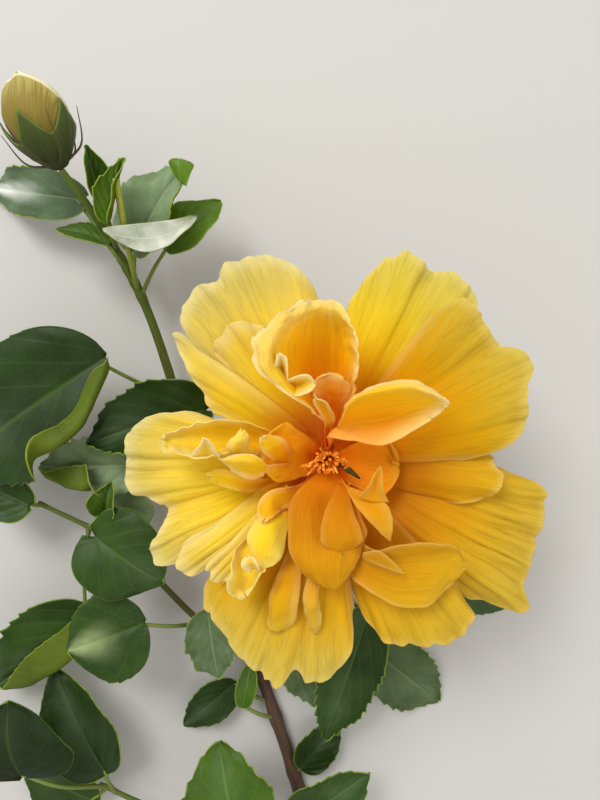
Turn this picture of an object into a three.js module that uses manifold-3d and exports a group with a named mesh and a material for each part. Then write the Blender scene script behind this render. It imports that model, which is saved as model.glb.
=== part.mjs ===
// Cut flowering branch of a double yellow hibiscus, lying on a flat surface with its bloom facing up.
// Millimetres and degrees. +Y runs along the stem from the cut end to the bud, +Z is up.
import * as THREE from "three";
import { mergeVertices } from "three/addons/utils/BufferGeometryUtils.js";
import Module from "manifold-3d";

// Driving dimensions
const PETAL_THICKNESS = 1.0;
const LEAF_THICKNESS = 0.8;
const CLEARANCE = 0.3;
const BLOOM_AXIS = [9.3, -21];
const CALYX_FOOT = 24;
const TUBE_RADIUS = 4.6;
const COLUMN_RADIUS = 3.2;
const COLUMN_TOP = 66;
const BUD_BASE = [-86, 83, 46];
const BUD_TIP = [-97, 112.5, 57];
const BUD_RADIUS = 11;
const PETIOLE_RADIUS = 0.9;
const CENTRE = [-23.8, -53, 0];

// Stems: radii at the two ends, then the points each one passes through
const STEMS = {
  main_stem: [2.75, 1.5, [
    [15, -218, 2.75], [-6, -150, 3.2], [-28, -84, 5], [-46, -18, 10], [-62, 36, 17], [-77, 68, 28],
  ]],
  left_branch: [1.5, 0.9, [[-19, -114, 4.2], [-44, -91, 10], [-73, -60, 16], [-107, -42, 16]]],
  lower_left_branch: [1.5, 0.9, [[9, -197, 3], [-32, -184, 8], [-62, -171, 10], [-84, -161, 10]]],
  bloom_pedicel: [1.4, 1.7, [[-36, -56, 7], [-14, -44, 8], [7, -25, 13], [9.3, -21, 23.2]]],
  bud_stalk: [1.4, 1.3, [[-76, 66, 27], [-81, 75, 36], [-85.9, 82.6, 45.6]]],
};

// Petals around the bloom axis: azimuth, half fan, reach from one side to the other, tilt from foot
// to rim, foot height, foot radius, lift of the sides, ruffle, waves, phase
const PETALS = {
  upper_left_back: [115, 25, [54, 65, 72, 74, 73, 72, 65],
    [50, 15, -10], 40, 3, 2.5, 1.5, 2.5, 0.1],
  upper_left_front: [141, 15, [60, 62, 63, 67, 54, 47, 42],
    [55, 22, 2], 42, 3, 3, 1, 1.5, 0.3],
  upper_right_back: [63, 21, [68, 74, 76, 73, 75, 66, 52],
    [50, 15, -10], 40, 3, 2.5, 1.5, 3, 0],
  right_upper: [29, 28, [48, 61, 66, 70, 65, 68, 66],
    [55, 25, 5], 42, 3, 1.5, 1, 2, 0.6],
  right_middle: [-8, 13, [38, 47, 54, 57, 57, 55, 52],
    [58, 28, 10], 42, 3, 1, 1, 1.5, 0.2],
  right_lower: [-25, 22, [69, 74, 84, 80, 78, 77, 76, 77, 68],
    [45, 10, -15], 39, 3, 2.5, 1.5, 4, 0.4],
  bottom_right: [-61, 18, [43, 59, 65, 69, 73, 72, 68],
    [50, 15, -5], 40, 3, 2, 1.2, 3, 0.2],
  bottom: [-109, 30, [53, 60, 64, 66, 68, 70, 73, 76, 69, 74, 70, 59, 50],
    [50, 15, -5], 40, 3, 2, 1.2, 3, 0.7],
  left: [187, 28, [50, 63, 67, 68, 67, 59, 60, 68, 66],
    [50, 15, -8], 40, 3, 2.5, 2, 4, 0.1],
  inner_upper_left: [125, 13, [47, 52, 56, 54, 50],
    [62, 35, 15], 43, 2.5, 1.5, 1.5, 2, 0],
  left_lobe_low: [-145, 7, [55, 59, 56],
    [52, 20, 0], 42, 2.5, 0.9, 1, 1, 0.2],
  left_lobe_lower: [-135, 7, [50, 53, 52, 47],
    [55, 24, 4], 43, 2.5, 0.9, 1, 1, 0.6],
};

// Outlines of a blade: narrowing of the foot, squareness and bluntness of the end
const ROUND = [0.9, 6, 0.5];
const SPOON = [1.6, 6, 0.5];
const SPATULA = [2.5, 5, 0.5];
const OVATE = [0.5, 2, 0.7];
const POINTED = [0.6, 1.5, 1];
const LEAFY = [0.45, 1.5, 0.9];

// Petal-like blades in the heart of the bloom: foot, tip, width, outline, facing, fold, curl of the
// right and left side, where the curl starts, arch, wave, waves, twist
const PETALOIDS = {
  hood: [[9, -19, 52], [1.7, 29, 88], 33, ROUND, 0, 15, 55, 50, 0.4, -8, 1, 3, 0],
  hood_inner: [[9.5, -19, 58], [10.5, 8, 84], 15, ROUND, 0, 15, 50, 50, 0.4, -3, 0.5, 2, 0],
  right_curl: [[11, -19, 56], [42, 1, 86], 22, [0.8, 4, 0.5], 10, 5, 10, 80, 0.6, -3, 0.8, 3, 0],
  lower_right_spoon: [[10.5, -23, 50], [48, -63, 66], 32, SPOON, 0, 8, 10, 60, 0.5, -3, 0.5, 2, 0],
  front_tongue: [[9, -23, 57], [11.7, -59.7, 72], 26, OVATE, 0, 15, 15, 15, 0.4, -2, 0.4, 2, 0],
  front_tongue_inner: [[9.5, -24, 62], [13.5, -49, 74], 14, OVATE, 0, 15, 15, 15, 0.4, -1, 0.3, 2, 0],
  dart: [[12, -22, 60], [28.2, -44.3, 76], 11, POINTED, 10, 10, 10, 10, 0.5, 0, 0.3, 1, 0],
  dart_side: [[21, -34, 68], [28.8, -20, 74], 9, POINTED, 0, 10, 30, 30, 0.4, 0, 0.6, 2, 0],
  finger: [[8, -18, 60], [-5.4, 13.6, 92], 5, SPATULA, 0, 20, 20, 20, 0.4, 0, 0.3, 2, 0],
  lobe: [[8, -18, 60], [0, 6.8, 92], 8, SPATULA, 0, 15, 40, 40, 0.4, 0, 0.4, 2, 0],
  small_lobe: [[10, -19, 60], [5, -1, 92], 6, SPATULA, 20, 20, 60, 60, 0.4, 1, 0.4, 2, 0],
  ribbon: [[9, -18, 60], [-10.8, 7.4, 90], 5, SPATULA, 70, 0, 10, 10, 0.4, 1, 0.6, 3, 0],
  left_ruffle: [[7, -21, 56], [-44.4, -15, 74], 12, SPOON, 20, 10, 40, 60, 0.3, 2, 2.5, 4, 20],
  left_bulge: [[7, -20, 58], [-25.4, -7.4, 78], 12, SPOON, 0, 0, -30, -30, 0.3, 3, 1, 2, 0],
  left_fold: [[7, -21, 58], [-22.3, -21.7, 76], 11, SPOON, -20, 0, -30, 60, 0.3, 2, 1.5, 2, 0],
  left_frill: [[7, -20, 54], [-43, -7.7, 70], 12, SPOON, 0, 10, 60, 30, 0.3, 2, 2, 4, 0],
  left_shell: [[8, -20, 58], [-8.1, -7.2, 82], 12, [1.2, 6, 0.5], 0, 10, 20, 20, 0.4, 1, 0.5, 3, 0],
  left_heart: [[8, -23, 58], [-14.7, -39.7, 74], 10, SPOON, 0, 5, 30, 40, 0.3, 1, 1.5, 3, 0],
  lower_left_frill: [[8, -23, 54], [-20.2, -64.2, 66], 15, SPOON, 0, 5, 60, -40, 0.3, 2, 3, 4, 0],
  lower_left_curl: [[8, -23, 54], [-12.4, -64.6, 66], 9, SPOON, 30, 5, 60, 60, 0.3, 2, 2, 3, 0],
  bottom_fold_left: [[9, -24, 52], [0, -80.9, 64], 11, [1, 6, 0.5], 0, 25, 15, 15, 0.4, 2, 0.6, 3, 0],
  bottom_fold_right: [[9, -24, 52], [9.3, -79.2, 64], 9, [1, 6, 0.5], 0, 25, 15, 15, 0.4, 2, 0.6, 3, 0],
};

// Leaves: stem, place along it, foot lobes, then the same as a petaloid but for the outline
const LEAVES = {
  leaf_bud_left: ["main_stem", 0.92, 0.1, [-86, 79, 25], [-134, 92, 0.5],
    21, -15, 12, 20, 20, 0.5, 4, 1.5, 2, 10],
  leaf_bud_young: ["main_stem", 0.89, 0, [-78.5, 77, 26], [-82, 97, 33],
    14, 35, 45, 10, 10, 0.5, 1, 0.5, 2, 0],
  leaf_trough: ["main_stem", 0.94, 0, [-71.5, 68, 38], [-67, 90, 44],
    15, 10, 42, 25, 25, 0.4, 1, 0.5, 2, 0],
  leaf_curly: ["main_stem", 0.86, 0.04, [-65, 58, 27], [-43, 89, 34],
    29, -10, 25, 30, -40, 0.4, 3, 2, 2, -20],
  leaf_saddle: ["main_stem", 0.89, 0, [-74, 60, 29], [-96, 67, 27],
    12, 0, 10, 10, 10, 0.5, 2, 0.5, 1, 0],
  leaf_fresh: ["main_stem", 0.83, 0, [-54, 60, 22], [-31, 78, 24],
    20, -10, 15, 20, 20, 0.5, 2, 1, 2, 0],
  leaf_big_left: ["main_stem", 0.66, 0.08, [-73, 16, 36], [-138, -28, 26],
    54, 0, 8, -25, 110, 0.6, 5, 1.5, 2, 0],
  leaf_left_edge: ["left_branch", 0.98, 0.1, [-108, -42, 22], [-134, -30, 18],
    22, 0, 10, 30, 30, 0.5, 2, 1, 2, 0],
  leaf_glaucous: ["main_stem", 0.56, 0.1, [-64, -26, 24], [-104, -26, 22],
    25, 0, 15, 15, 115, 0.5, 3, 1, 2, 0],
  leaf_behind_bloom: ["main_stem", 0.59, 0.1, [-36, -4, 32], [-82, -17, 30],
    32, 20, 30, 20, 10, 0.5, 3, 1, 3, 0],
  leaf_folded: ["left_branch", 0.72, 0, [-73, -44, 22], [-67, -32, 26],
    15, 0, 45, 20, 20, 0.5, 1, 0.5, 2, 0],
  leaf_round: ["left_branch", 0.7, 0.2, [-78, -52, 33], [-52, -70, 31],
    35, 0, 5, -20, -20, 0.5, 4, 1, 2, 0],
  leaf_grey: ["left_branch", 0.62, 0, [-60, -48, 18], [-76, -38, 20],
    11, 0, 10, 10, 10, 0.5, 1, 0.5, 2, 0],
  leaf_left_mid: ["left_branch", 0.3, 0.15, [-60, -86, 30], [-90, -97, 29],
    35, 0, 10, -20, -30, 0.5, 3, 1, 2, 0],
  leaf_margin: ["left_branch", 0.8, 0.1, [-87, -85, 17], [-128, -116, 10],
    38, 0, 10, 20, 110, 0.5, 3, 1, 2, 0],
  leaf_low_dark: ["lower_left_branch", 0.9, 0.1, [-80, -154, 14], [-101, -110, 15],
    32, 0, 15, 20, 20, 0.5, 3, 1, 2, 0],
  leaf_low_round: ["lower_left_branch", 0.97, 0.25, [-106, -144, 32], [-108, -111, 40],
    46, 0, 8, -30, -30, 0.5, 5, 1, 2, 0],
  leaf_low_light: ["lower_left_branch", 0.95, 0.1, [-86, -168, 10], [-120, -158, 0.5],
    28, 0, 10, 10, 10, 0.5, 2, 1, 2, 0],
  leaf_crinkled: ["left_branch", 0.2, 0.1, [-37, -86, 20], [-33, -112, 20],
    21, 0, 12, 20, 20, 0.5, 2, 1.5, 3, 0],
  leaf_under_bottom: ["main_stem", 0.3, 0, [-8, -103, 10], [16, -130, 7],
    20, 0, 10, 10, 10, 0.5, 1, 1, 3, 0],
  leaf_pointing: ["bloom_pedicel", 0.45, 0.1, [27, -86, 22], [10, -140, 14],
    26, 0, 15, 20, 30, 0.5, 2, 1, 3, 0],
  leaf_right_low: ["bloom_pedicel", 0.3, 0.1, [32, -106, 8], [60, -131, 0.5],
    29, 0, 8, 10, 10, 0.5, 2, 1, 2, 0],
  leaf_bottom_left: ["main_stem", 0.14, 0.1, [-24, -176, 24], [-32, -134, 26],
    41, 0, 10, 20, 20, 0.5, 3, 1.5, 3, 0],
  leaf_bottom_right: ["main_stem", 0.1, 0.1, [-2, -172, 16], [28, -150, 20],
    25, 0, 10, 20, 20, 0.5, 2, 1, 2, 0],
  leaf_olive: ["main_stem", 0.24, 0, [-24, -128, 12], [-20, -108, 12],
    9, 0, 10, 10, 10, 0.5, 1, 0.5, 2, 0],
  leaf_dark_right: ["main_stem", 0.17, 0, [0, -158, 5], [17, -137, 3],
    17, 0, 10, 10, 10, 0.5, 1, 0.5, 2, 0],
  leaf_dark_left: ["main_stem", 0.26, 0, [-27, -120, 6], [-50, -140, 3],
    17, 0, 10, 10, 10, 0.5, 1, 0.5, 2, 0],
  leaf_right: ["bloom_pedicel", 0.6, 0.1, [50, -60, 14], [90, -90, 0.5],
    30, 0, 10, 10, 10, 0.5, 2, 1, 2, 0],
};

const GREEN_STEM = [0x6f7d3a, 0.7];
const BARK = [0x6b4a3a, 0.85];
const LEAF = [0x3f6b2c, 0.5];
const PETAL = [0xf6cf2a, 0.6];
const BUD = [0xe9dd80, 0.6];

const wasm = await Module();
wasm.setup();
const rad = THREE.MathUtils.degToRad;
const vec = (a) => new THREE.Vector3(a[0], a[1], a[2]);
const UP = vec([0, 0, 1]);
const atAxis = (x, y, z) => vec([BLOOM_AXIS[0] + x, BLOOM_AXIS[1] + y, z]);

// Smooth value at u in -1..1 through equally spaced values
function between(values, u) {
  const n = values.length - 1;
  const x = ((u + 1) / 2) * n;
  const i = Math.max(0, Math.min(Math.floor(x), n - 1));
  const t = x - i;
  const b = values[i];
  const c = values[i + 1];
  const a = i > 0 ? values[i - 1] : 2 * b - c;
  const d = i + 2 <= n ? values[i + 2] : 2 * c - b;
  const bend = 2 * a - 5 * b + 4 * c - d;
  return 0.5 * (2 * b + (c - a) * t + bend * t * t + (3 * b - a - 3 * c + d) * t ** 3);
}

function pathPoint(points, t) {
  return vec([0, 1, 2].map((k) => between(points.map((p) => p[k]), 2 * t - 1)));
}

// Moves every vertex of a box or cylinder and turns it into a solid
function solid(geometry, place) {
  geometry.deleteAttribute("normal");
  geometry.deleteAttribute("uv");
  const p = geometry.attributes.position;
  for (let i = 0; i < p.count; i++) {
    const v = place(p.getX(i), p.getY(i), p.getZ(i));
    p.setXYZ(i, v.x, v.y, v.z);
  }
  const merged = mergeVertices(geometry, 1e-4);
  const made = new wasm.Mesh({
    numProp: 3,
    vertProperties: new Float32Array(merged.attributes.position.array),
    triVerts: new Uint32Array(merged.index.array),
  });
  return new wasm.Manifold(made);
}

// Round tapering limb through its points, and a little beyond them
function limb(r0, r1, points, sides = 10, steps = 10, beyond = 0) {
  const first = vec(points[0]);
  const last = vec(points[points.length - 1]);
  const plane = vec(points[1]).sub(first).cross(last.clone().sub(first));
  if (plane.length() < 1e-3) plane.set(0.3, 0.2, 1);
  return solid(new THREE.CylinderGeometry(1, 1, 1, sides, steps), (x, y, z) => {
    const t = 0.5 + y * (1 + (2 * beyond) / first.distanceTo(last));
    const e = 1e-3;
    const tangent = pathPoint(points, t + e).sub(pathPoint(points, t - e)).normalize();
    const across = plane.clone().addScaledVector(tangent, -plane.dot(tangent)).normalize();
    const other = tangent.clone().cross(across);
    const r = r0 + (r1 - r0) * t;
    return pathPoint(points, t).addScaledVector(across, z * r).addScaledVector(other, x * r);
  });
}

// Thin sheet of even thickness about a surface point(u, v)
function sheet(point, thickness, nu, nv) {
  return solid(new THREE.BoxGeometry(2, 1, 1, nu, nv, 1), (u, y, side) => {
    const v = y + 0.5;
    const e = 1e-3;
    const du = point(u + e, v).sub(point(u - e, v));
    const dv = point(u, v + e).sub(point(u, v - e));
    return point(u, v).addScaledVector(du.cross(dv).normalize(), side * thickness);
  });
}

function petalPoint(row, u, v) {
  const [azimuth, fan, reach, tilts, z0, r0, lift, ruffle, waves, phase] = row;
  const steps = 10;
  const turn = rad(azimuth + u * fan);
  let [out, up, full] = [0, 0, 0];
  for (let k = 0; k < steps; k++) {
    const w = (k + 0.5) / steps;
    const tilt = rad(between(tilts, 2 * w - 1) + lift * u * u * w);
    const share = k === steps - 1 ? v * steps - k : Math.min(1, v * steps - k);
    full += Math.cos(tilt) / steps;
    if (share > 0 || k === 0) {
      out += (Math.cos(tilt) * share) / steps;
      up += (Math.sin(tilt) * share) / steps;
    }
  }
  const scale = (between(reach, u) - r0) / Math.max(full, 0.15);
  const frill = ruffle * Math.max(v, 0) ** 2.5 * Math.sin(Math.PI * (waves * u + 2 * phase));
  const edge = 0.4 * ruffle * v ** 4 * Math.sin(Math.PI * (2.3 * waves * u + 4 * phase));
  const rho = r0 + out * scale;
  return atAxis(rho * Math.cos(turn), rho * Math.sin(turn), z0 + up * scale + frill + edge);
}

// Point on a blade's section at a share of its half width: folded up, then curling
function section(distance, half, fold, curl, start) {
  const flat = Math.min(distance, start) * half;
  let x = flat * Math.cos(fold);
  let z = flat * Math.sin(fold);
  if (distance > start) {
    const run = (distance - start) * half;
    const bend = (curl * (distance - start)) / (1 - start);
    const soft = Math.abs(bend) < 1e-4 ? 1e-4 : bend;
    x += (run / soft) * (Math.sin(fold + soft) - Math.sin(fold));
    z -= (run / soft) * (Math.cos(fold + soft) - Math.cos(fold));
  }
  return [x, z];
}

// Half width from 0 to 1 along a blade
function outline(v, [claw, square, blunt]) {
  const widest = (claw / (claw + square * blunt)) ** (1 / square);
  const shape = (t) => t ** claw * Math.max(0, 1 - t ** square) ** blunt;
  return shape(Math.max(v, 0)) / shape(widest);
}

// Point on a blade; its narrow foot and tip fold and curl less than the rest
function bladePoint(row, lobe, u, v) {
  const [foot, tip, width, shape, facing, fold, right, left, start, arch, wave, waves, twist] = row;
  const chord = vec(tip).sub(vec(foot));
  const length = chord.length();
  const along = chord.normalize();
  const side = UP.clone().cross(along).normalize();
  side.applyAxisAngle(along, rad(facing + twist * (v - 0.5)));
  const out = along.clone().cross(side);
  const half = 0.5 + (width / 2 - 0.5) * outline(v, shape);
  const soft = Math.min(1, half / 2);
  const a = Math.abs(u);
  const [x, z] = section(a, half, rad(fold) * soft, rad(u > 0 ? left : right) * soft, start);
  const ripple = wave * a * a * Math.sin(2 * Math.PI * waves * v + (u > 0 ? 1.3 : 0));
  const p = vec(foot).addScaledVector(along, length * (v - lobe * a * a * (1 - v) ** 3));
  p.addScaledVector(side, u > 0 ? x : -x);
  return p.addScaledVector(out, z + arch * 4 * v * (1 - v) + ripple);
}

// Leaf stalk from its place on the stem to just inside the blade
function petiole(stem, place, row, lobe) {
  const start = pathPoint(STEMS[stem][2], place);
  const end = bladePoint(row, lobe, 0, 0.06);
  const middle = start.clone().lerp(end, 0.5);
  middle.z += 0.1 * start.distanceTo(end);
  const points = [start, middle, end].map((p) => p.toArray());
  return limb(PETIOLE_RADIUS, 0.7 * PETIOLE_RADIUS, points, 5, 2);
}

function largest(body) {
  return body.decompose().sort((a, b) => b.volume() - a.volume())[0];
}

// The body kept clear of the stem it springs from
function clearOf(body, stem) {
  const [r0, r1, points] = STEMS[stem];
  const room = limb(r0 + CLEARANCE, r1 + CLEARANCE, points, 10, 10, CLEARANCE);
  return largest(body.subtract(room));
}

// Cup whose rim rises into five points; profile(g) gives radius and height along a sepal
function calyx(profile, low, high, place) {
  const rows = 4;
  const points = [[0, 0]];
  for (let k = 1; k <= rows; k++) points.push([1 + k, k]);
  for (let k = rows; k >= 1; k--) points.push([0.5 + k, k]);
  points.push([0, 0.5]);
  const cup = points.map(([x, y]) => new THREE.Vector2(x, y));
  return solid(new THREE.LatheGeometry(cup, 20), (x, y, z) => {
    const mark = Math.hypot(x, z);
    const angle = Math.atan2(z, x);
    const point = Math.abs(((5 * angle) / Math.PI + 20) % 2 - 1);
    const share = (y / rows) * (low + (high - low) * point ** 1.4);
    const [r, h] = profile(share);
    const [rNext, hNext] = profile(share + 1e-3);
    const n = Math.hypot(rNext - r, hNext - h);
    if (mark < 0.01) return place(0, 0, y > 0 ? profile(0)[1] + 0.9 : profile(0)[1]);
    const inner = mark - y < 0.75 ? 0.9 : 0;
    const radius = r - (inner * (hNext - h)) / n;
    const height = h + (inner * (rNext - r)) / n;
    return place(radius * Math.cos(angle), -radius * Math.sin(angle), height);
  });
}

// Narrow bracts round the foot of a calyx
function bracts(place, reach, rise) {
  const made = [];
  for (let k = 0; k < 6; k++) {
    const turn = (k * Math.PI) / 3 + 0.4;
    const path = [[0.2, 0.1], [0.6, 0.25], [1, 1]].map(([out, up]) =>
      place(out * reach * Math.cos(turn), out * reach * Math.sin(turn), 0.8 + up * rise).toArray(),
    );
    made.push(limb(0.8, 0.4, path, 5, 2));
  }
  return made;
}

const budAxis = vec(BUD_TIP).sub(vec(BUD_BASE));
const budTurn = new THREE.Quaternion().setFromUnitVectors(UP, budAxis.clone().normalize());
const budPlace = (x, y, z) => vec([x, y, z]).applyQuaternion(budTurn).add(vec(BUD_BASE));
const budLength = budAxis.length();
const BUD_PROFILE = [0.2, 0.78, 1, 0.94, 0.72, 0.4, 0.08];
const budRadius = (h) => BUD_RADIUS * between(BUD_PROFILE, (2 * h) / budLength - 1);

const group = new THREE.Group();

function addNode(name, body, [colour, roughness]) {
  const mesh = body.getMesh();
  const geometry = new THREE.BufferGeometry();
  const position = new THREE.BufferAttribute(new Float32Array(mesh.vertProperties), 3);
  geometry.setAttribute("position", position);
  geometry.setIndex(new THREE.BufferAttribute(new Uint32Array(mesh.triVerts), 1));
  const material = new THREE.MeshStandardMaterial({ color: colour, roughness, metalness: 0 });
  const node = new THREE.Mesh(geometry, material);
  node.name = name;
  group.add(node);
}

const stemOf = (name) => limb(...STEMS[name]);
addNode("main_stem", stemOf("main_stem"), BARK);
addNode("left_branch", clearOf(stemOf("left_branch"), "main_stem"), BARK);
addNode("lower_left_branch", clearOf(stemOf("lower_left_branch"), "main_stem"), BARK);
addNode("bloom_pedicel", clearOf(stemOf("bloom_pedicel"), "main_stem"), GREEN_STEM);
addNode("bud_stalk", clearOf(stemOf("bud_stalk"), "main_stem"), GREEN_STEM);

for (const [name, [stem, place, lobe, foot, tip, width, ...form]] of Object.entries(LEAVES)) {
  const row = [foot, tip, width, LEAFY, ...form];
  const blade = sheet((u, v) => bladePoint(row, lobe, u, v), LEAF_THICKNESS, 6, 5);
  addNode(name, clearOf(blade.add(petiole(stem, place, row, lobe)), stem), LEAF);
}

// Bloom: tube, column and petals are one body
const post = (radius, low, high) =>
  solid(new THREE.CylinderGeometry(radius, radius, high - low, 12), (x, y, z) =>
    atAxis(x, -z, y + (low + high) / 2),
  );
let bloom = post(TUBE_RADIUS, 29.2, 47).add(post(COLUMN_RADIUS, 40, COLUMN_TOP));
for (const row of Object.values(PETALS)) {
  bloom = bloom.add(sheet((u, v) => petalPoint(row, u, v), PETAL_THICKNESS, 6, 5));
}
for (const row of Object.values(PETALOIDS)) {
  const towardsTip = (y) => y * (1.6 - 0.6 * y);
  bloom = bloom.add(sheet((u, y) => bladePoint(row, 0, u, towardsTip(y)), PETAL_THICKNESS, 4, 4));
}
addNode("bloom", largest(bloom), PETAL);

const bloomSepal = (g) => [
  between([2.4, 5.8, 6.6, 9, 13, 18, 23], 2 * g - 1),
  between([0, 2.5, 8, 13, 16, 18, 19], 2 * g - 1),
];
const bloomPlace = (x, y, z) => atAxis(x, y, z + CALYX_FOOT);
const bloomCalyx = [calyx(bloomSepal, 0.3, 1, bloomPlace), ...bracts(bloomPlace, 13, 5)];
addNode("bloom_calyx", wasm.Manifold.union(bloomCalyx), GREEN_STEM);

const budSepal = (g) => [budRadius(0.55 * g * budLength) + 2.2, 0.55 * g * budLength];
const budCalyx = [calyx(budSepal, 0.4, 1, budPlace), ...bracts(budPlace, 15, 9)];
addNode("bud_calyx", wasm.Manifold.union(budCalyx), GREEN_STEM);
const budOutline = [0, 0.1, 0.2, 0.35, 0.5, 0.65, 0.8, 0.92, 1, 1].map((share, k) =>
  new THREE.Vector2(k === 0 || k === 9 ? 0 : 1, share),
);
const budBody = solid(new THREE.LatheGeometry(budOutline, 20), (x, y, z) => {
  const height = 1.9 + y * (budLength - 1.9);
  const angle = Math.atan2(z, x);
  const ridge = 1 + 0.05 * Math.sin(5 * angle + 5 * y) * y;
  const r = Math.hypot(x, z) > 0.01 ? budRadius(height) * ridge : 0;
  return budPlace(r * Math.cos(angle), -r * Math.sin(angle), height);
});
addNode("bud_petals", budBody, BUD);

group.position.set(-CENTRE[0], -CENTRE[1], -CENTRE[2]);

export default group;
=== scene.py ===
# %% [markdown]
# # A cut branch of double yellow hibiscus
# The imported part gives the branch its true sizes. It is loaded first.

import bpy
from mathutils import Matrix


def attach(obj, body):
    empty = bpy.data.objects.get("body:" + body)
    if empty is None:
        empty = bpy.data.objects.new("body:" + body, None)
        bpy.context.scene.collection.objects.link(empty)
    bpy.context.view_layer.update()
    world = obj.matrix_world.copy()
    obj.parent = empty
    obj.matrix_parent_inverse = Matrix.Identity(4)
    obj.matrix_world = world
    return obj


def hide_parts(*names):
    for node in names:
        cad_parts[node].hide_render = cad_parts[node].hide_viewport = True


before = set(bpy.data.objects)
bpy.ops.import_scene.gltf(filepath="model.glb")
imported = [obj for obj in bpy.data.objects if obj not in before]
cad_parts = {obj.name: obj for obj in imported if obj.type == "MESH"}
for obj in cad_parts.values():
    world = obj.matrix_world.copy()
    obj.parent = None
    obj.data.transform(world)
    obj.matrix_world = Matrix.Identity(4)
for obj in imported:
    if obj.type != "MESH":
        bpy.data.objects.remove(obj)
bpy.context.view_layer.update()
print("nodes in the frame:", len(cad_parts))

# %% [markdown]
# ## Units and the way a piece is finished
# The shapes are worked out in millimetres, as a botanist would measure them, and Blender counts
# in metres. One function moves a point to the frame's own origin, and one turns a finished
# bmesh into an object that rides on the branch and stands for its solid.

# %% Units and finishing
from math import atan2, cos, exp, hypot, pi, radians, sin, sqrt

import bmesh
import bpy
from mathutils import Matrix, Vector, noise

MM = 0.001
CENTRE = Vector((-23.8, -53.0, 0.0))


def place(point):
    return (point - CENTRE) * MM


def finish(bm, name, materials, replaces=None):
    """Turns a bmesh into an object that rides on the branch."""
    mesh = bpy.data.meshes.new(name)
    bm.to_mesh(mesh)
    bm.free()
    piece = bpy.data.objects.new(name, mesh)
    bpy.context.scene.collection.objects.link(piece)
    for material in materials:
        mesh.materials.append(material)
    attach(piece, "root")
    if replaces:
        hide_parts(replaces)
    return piece


print("one unit of the tables is", MM, "m")

# %% [markdown]
# ## Camera, floor and light
# The photograph looks straight into the open bloom, so the camera hangs above the branch
# and looks down. A telephone's main lens sees about 67 degrees along the long side of its picture,
# and that sets the lens. A big soft lamp on the upper left and a weaker one on the right
# give the even light of an overcast day.

# %% Camera
CAMERA_HEIGHT = 262.0
FOCAL_PIXELS = 601.0
LONG_SIDE_PIXELS = 800.0
scene = bpy.context.scene
camera_data = bpy.data.cameras.new("camera")
camera_data.sensor_width = 36.0
camera_data.lens = 36.0 * FOCAL_PIXELS / LONG_SIDE_PIXELS
camera_data.clip_start = 0.01
camera = bpy.data.objects.new("camera", camera_data)
camera.location = place(Vector((0, 0, CAMERA_HEIGHT)))
scene.collection.objects.link(camera)
scene.camera = camera
print("lens:", round(camera_data.lens, 2), "mm")

# %% [markdown]
# ## A small kit for materials
# Every colour below is the sRGB value that a painter would pick, and Cycles wants linear light,
# so one function converts. The other adds a node with its values and links.

# %% Colour and nodes


def linear(code):
    """sRGB hex to a linear RGBA colour."""
    parts = [int(code[i:i + 2], 16) / 255 for i in (1, 3, 5)]
    return tuple(c / 12.92 if c < 0.04045 else ((c + 0.055) / 1.055) ** 2.4 for c in parts) + (1.0,)


def add(tree, kind, inputs=None, stops=None, **settings):
    """Adds a node with its settings; an input is a value or the socket that feeds it."""
    node = tree.nodes.new(kind)
    for key, value in settings.items():
        setattr(node, key, value)
    for key, value in (inputs or {}).items():
        if isinstance(value, bpy.types.NodeSocket):
            tree.links.new(value, node.inputs[key])
        else:
            node.inputs[key].default_value = value
    for k, (position, colour) in enumerate(stops or []):
        ramp = node.color_ramp.elements
        stop = ramp[k] if k < 2 else ramp.new(position)
        stop.position, stop.color = position, linear(colour)
    return node


def new_material(name):
    material = bpy.data.materials.new(name)
    material.use_nodes = True
    material.node_tree.nodes.clear()
    return material, material.node_tree


def mottled(name, low, high, scale, roughness, relief=0.0):
    """A matt finish in two mottled tones; scale is in spots per metre, relief in metres."""
    material, tree = new_material(name)
    coordinates = add(tree, "ShaderNodeTexCoord")
    grain = add(tree, "ShaderNodeTexNoise", {"Vector": coordinates.outputs["Object"], "Scale": scale})
    colour = add(tree, "ShaderNodeValToRGB", {0: grain.outputs[0]}, [(0.35, low), (0.67, high)])
    bump = add(tree, "ShaderNodeBump", {"Height": grain.outputs[0], "Strength": 0.6, "Distance": relief})
    surface = add(tree, "ShaderNodeBsdfPrincipled",
                  {"Base Color": colour.outputs[0], "Roughness": roughness,
                   "Specular IOR Level": 0.2, "Normal": bump.outputs[0]})
    add(tree, "ShaderNodeOutputMaterial", {"Surface": surface.outputs[0]})
    return material


print("pure yellow is", [round(c, 2) for c in linear("#ffd700")])

# %% Floor and lamps
paper, tree = new_material("matt_pale_paper")
surface = add(tree, "ShaderNodeBsdfPrincipled", {"Base Color": linear("#bfbdb8"), "Roughness": 0.9})
add(tree, "ShaderNodeOutputMaterial", {"Surface": surface.outputs[0]})

bm = bmesh.new()
bmesh.ops.create_grid(bm, x_segments=1, y_segments=1, size=3)
bmesh.ops.translate(bm, vec=(0, 0, -0.0003), verts=bm.verts)
floor_mesh = bpy.data.meshes.new("floor")
bm.to_mesh(floor_mesh)
bm.free()
floor_mesh.materials.append(paper)
floor = bpy.data.objects.new("floor", floor_mesh)
scene.collection.objects.link(floor)

# name: place in metres, power in watts, size in metres
LAMPS = {
    "sky": ((-0.45, 0.65, 0.95), 9.2, 0.5),
    "fill": ((0.8, -0.3, 0.7), 3.2, 0.9),
}
for name, (spot, power, size) in LAMPS.items():
    lamp = bpy.data.lights.new(name, "AREA")
    lamp.energy, lamp.size = power, size
    holder = bpy.data.objects.new(name, lamp)
    holder.location = spot
    holder.rotation_euler = (-Vector(spot)).to_track_quat("-Z", "Y").to_euler()
    scene.collection.objects.link(holder)

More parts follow.
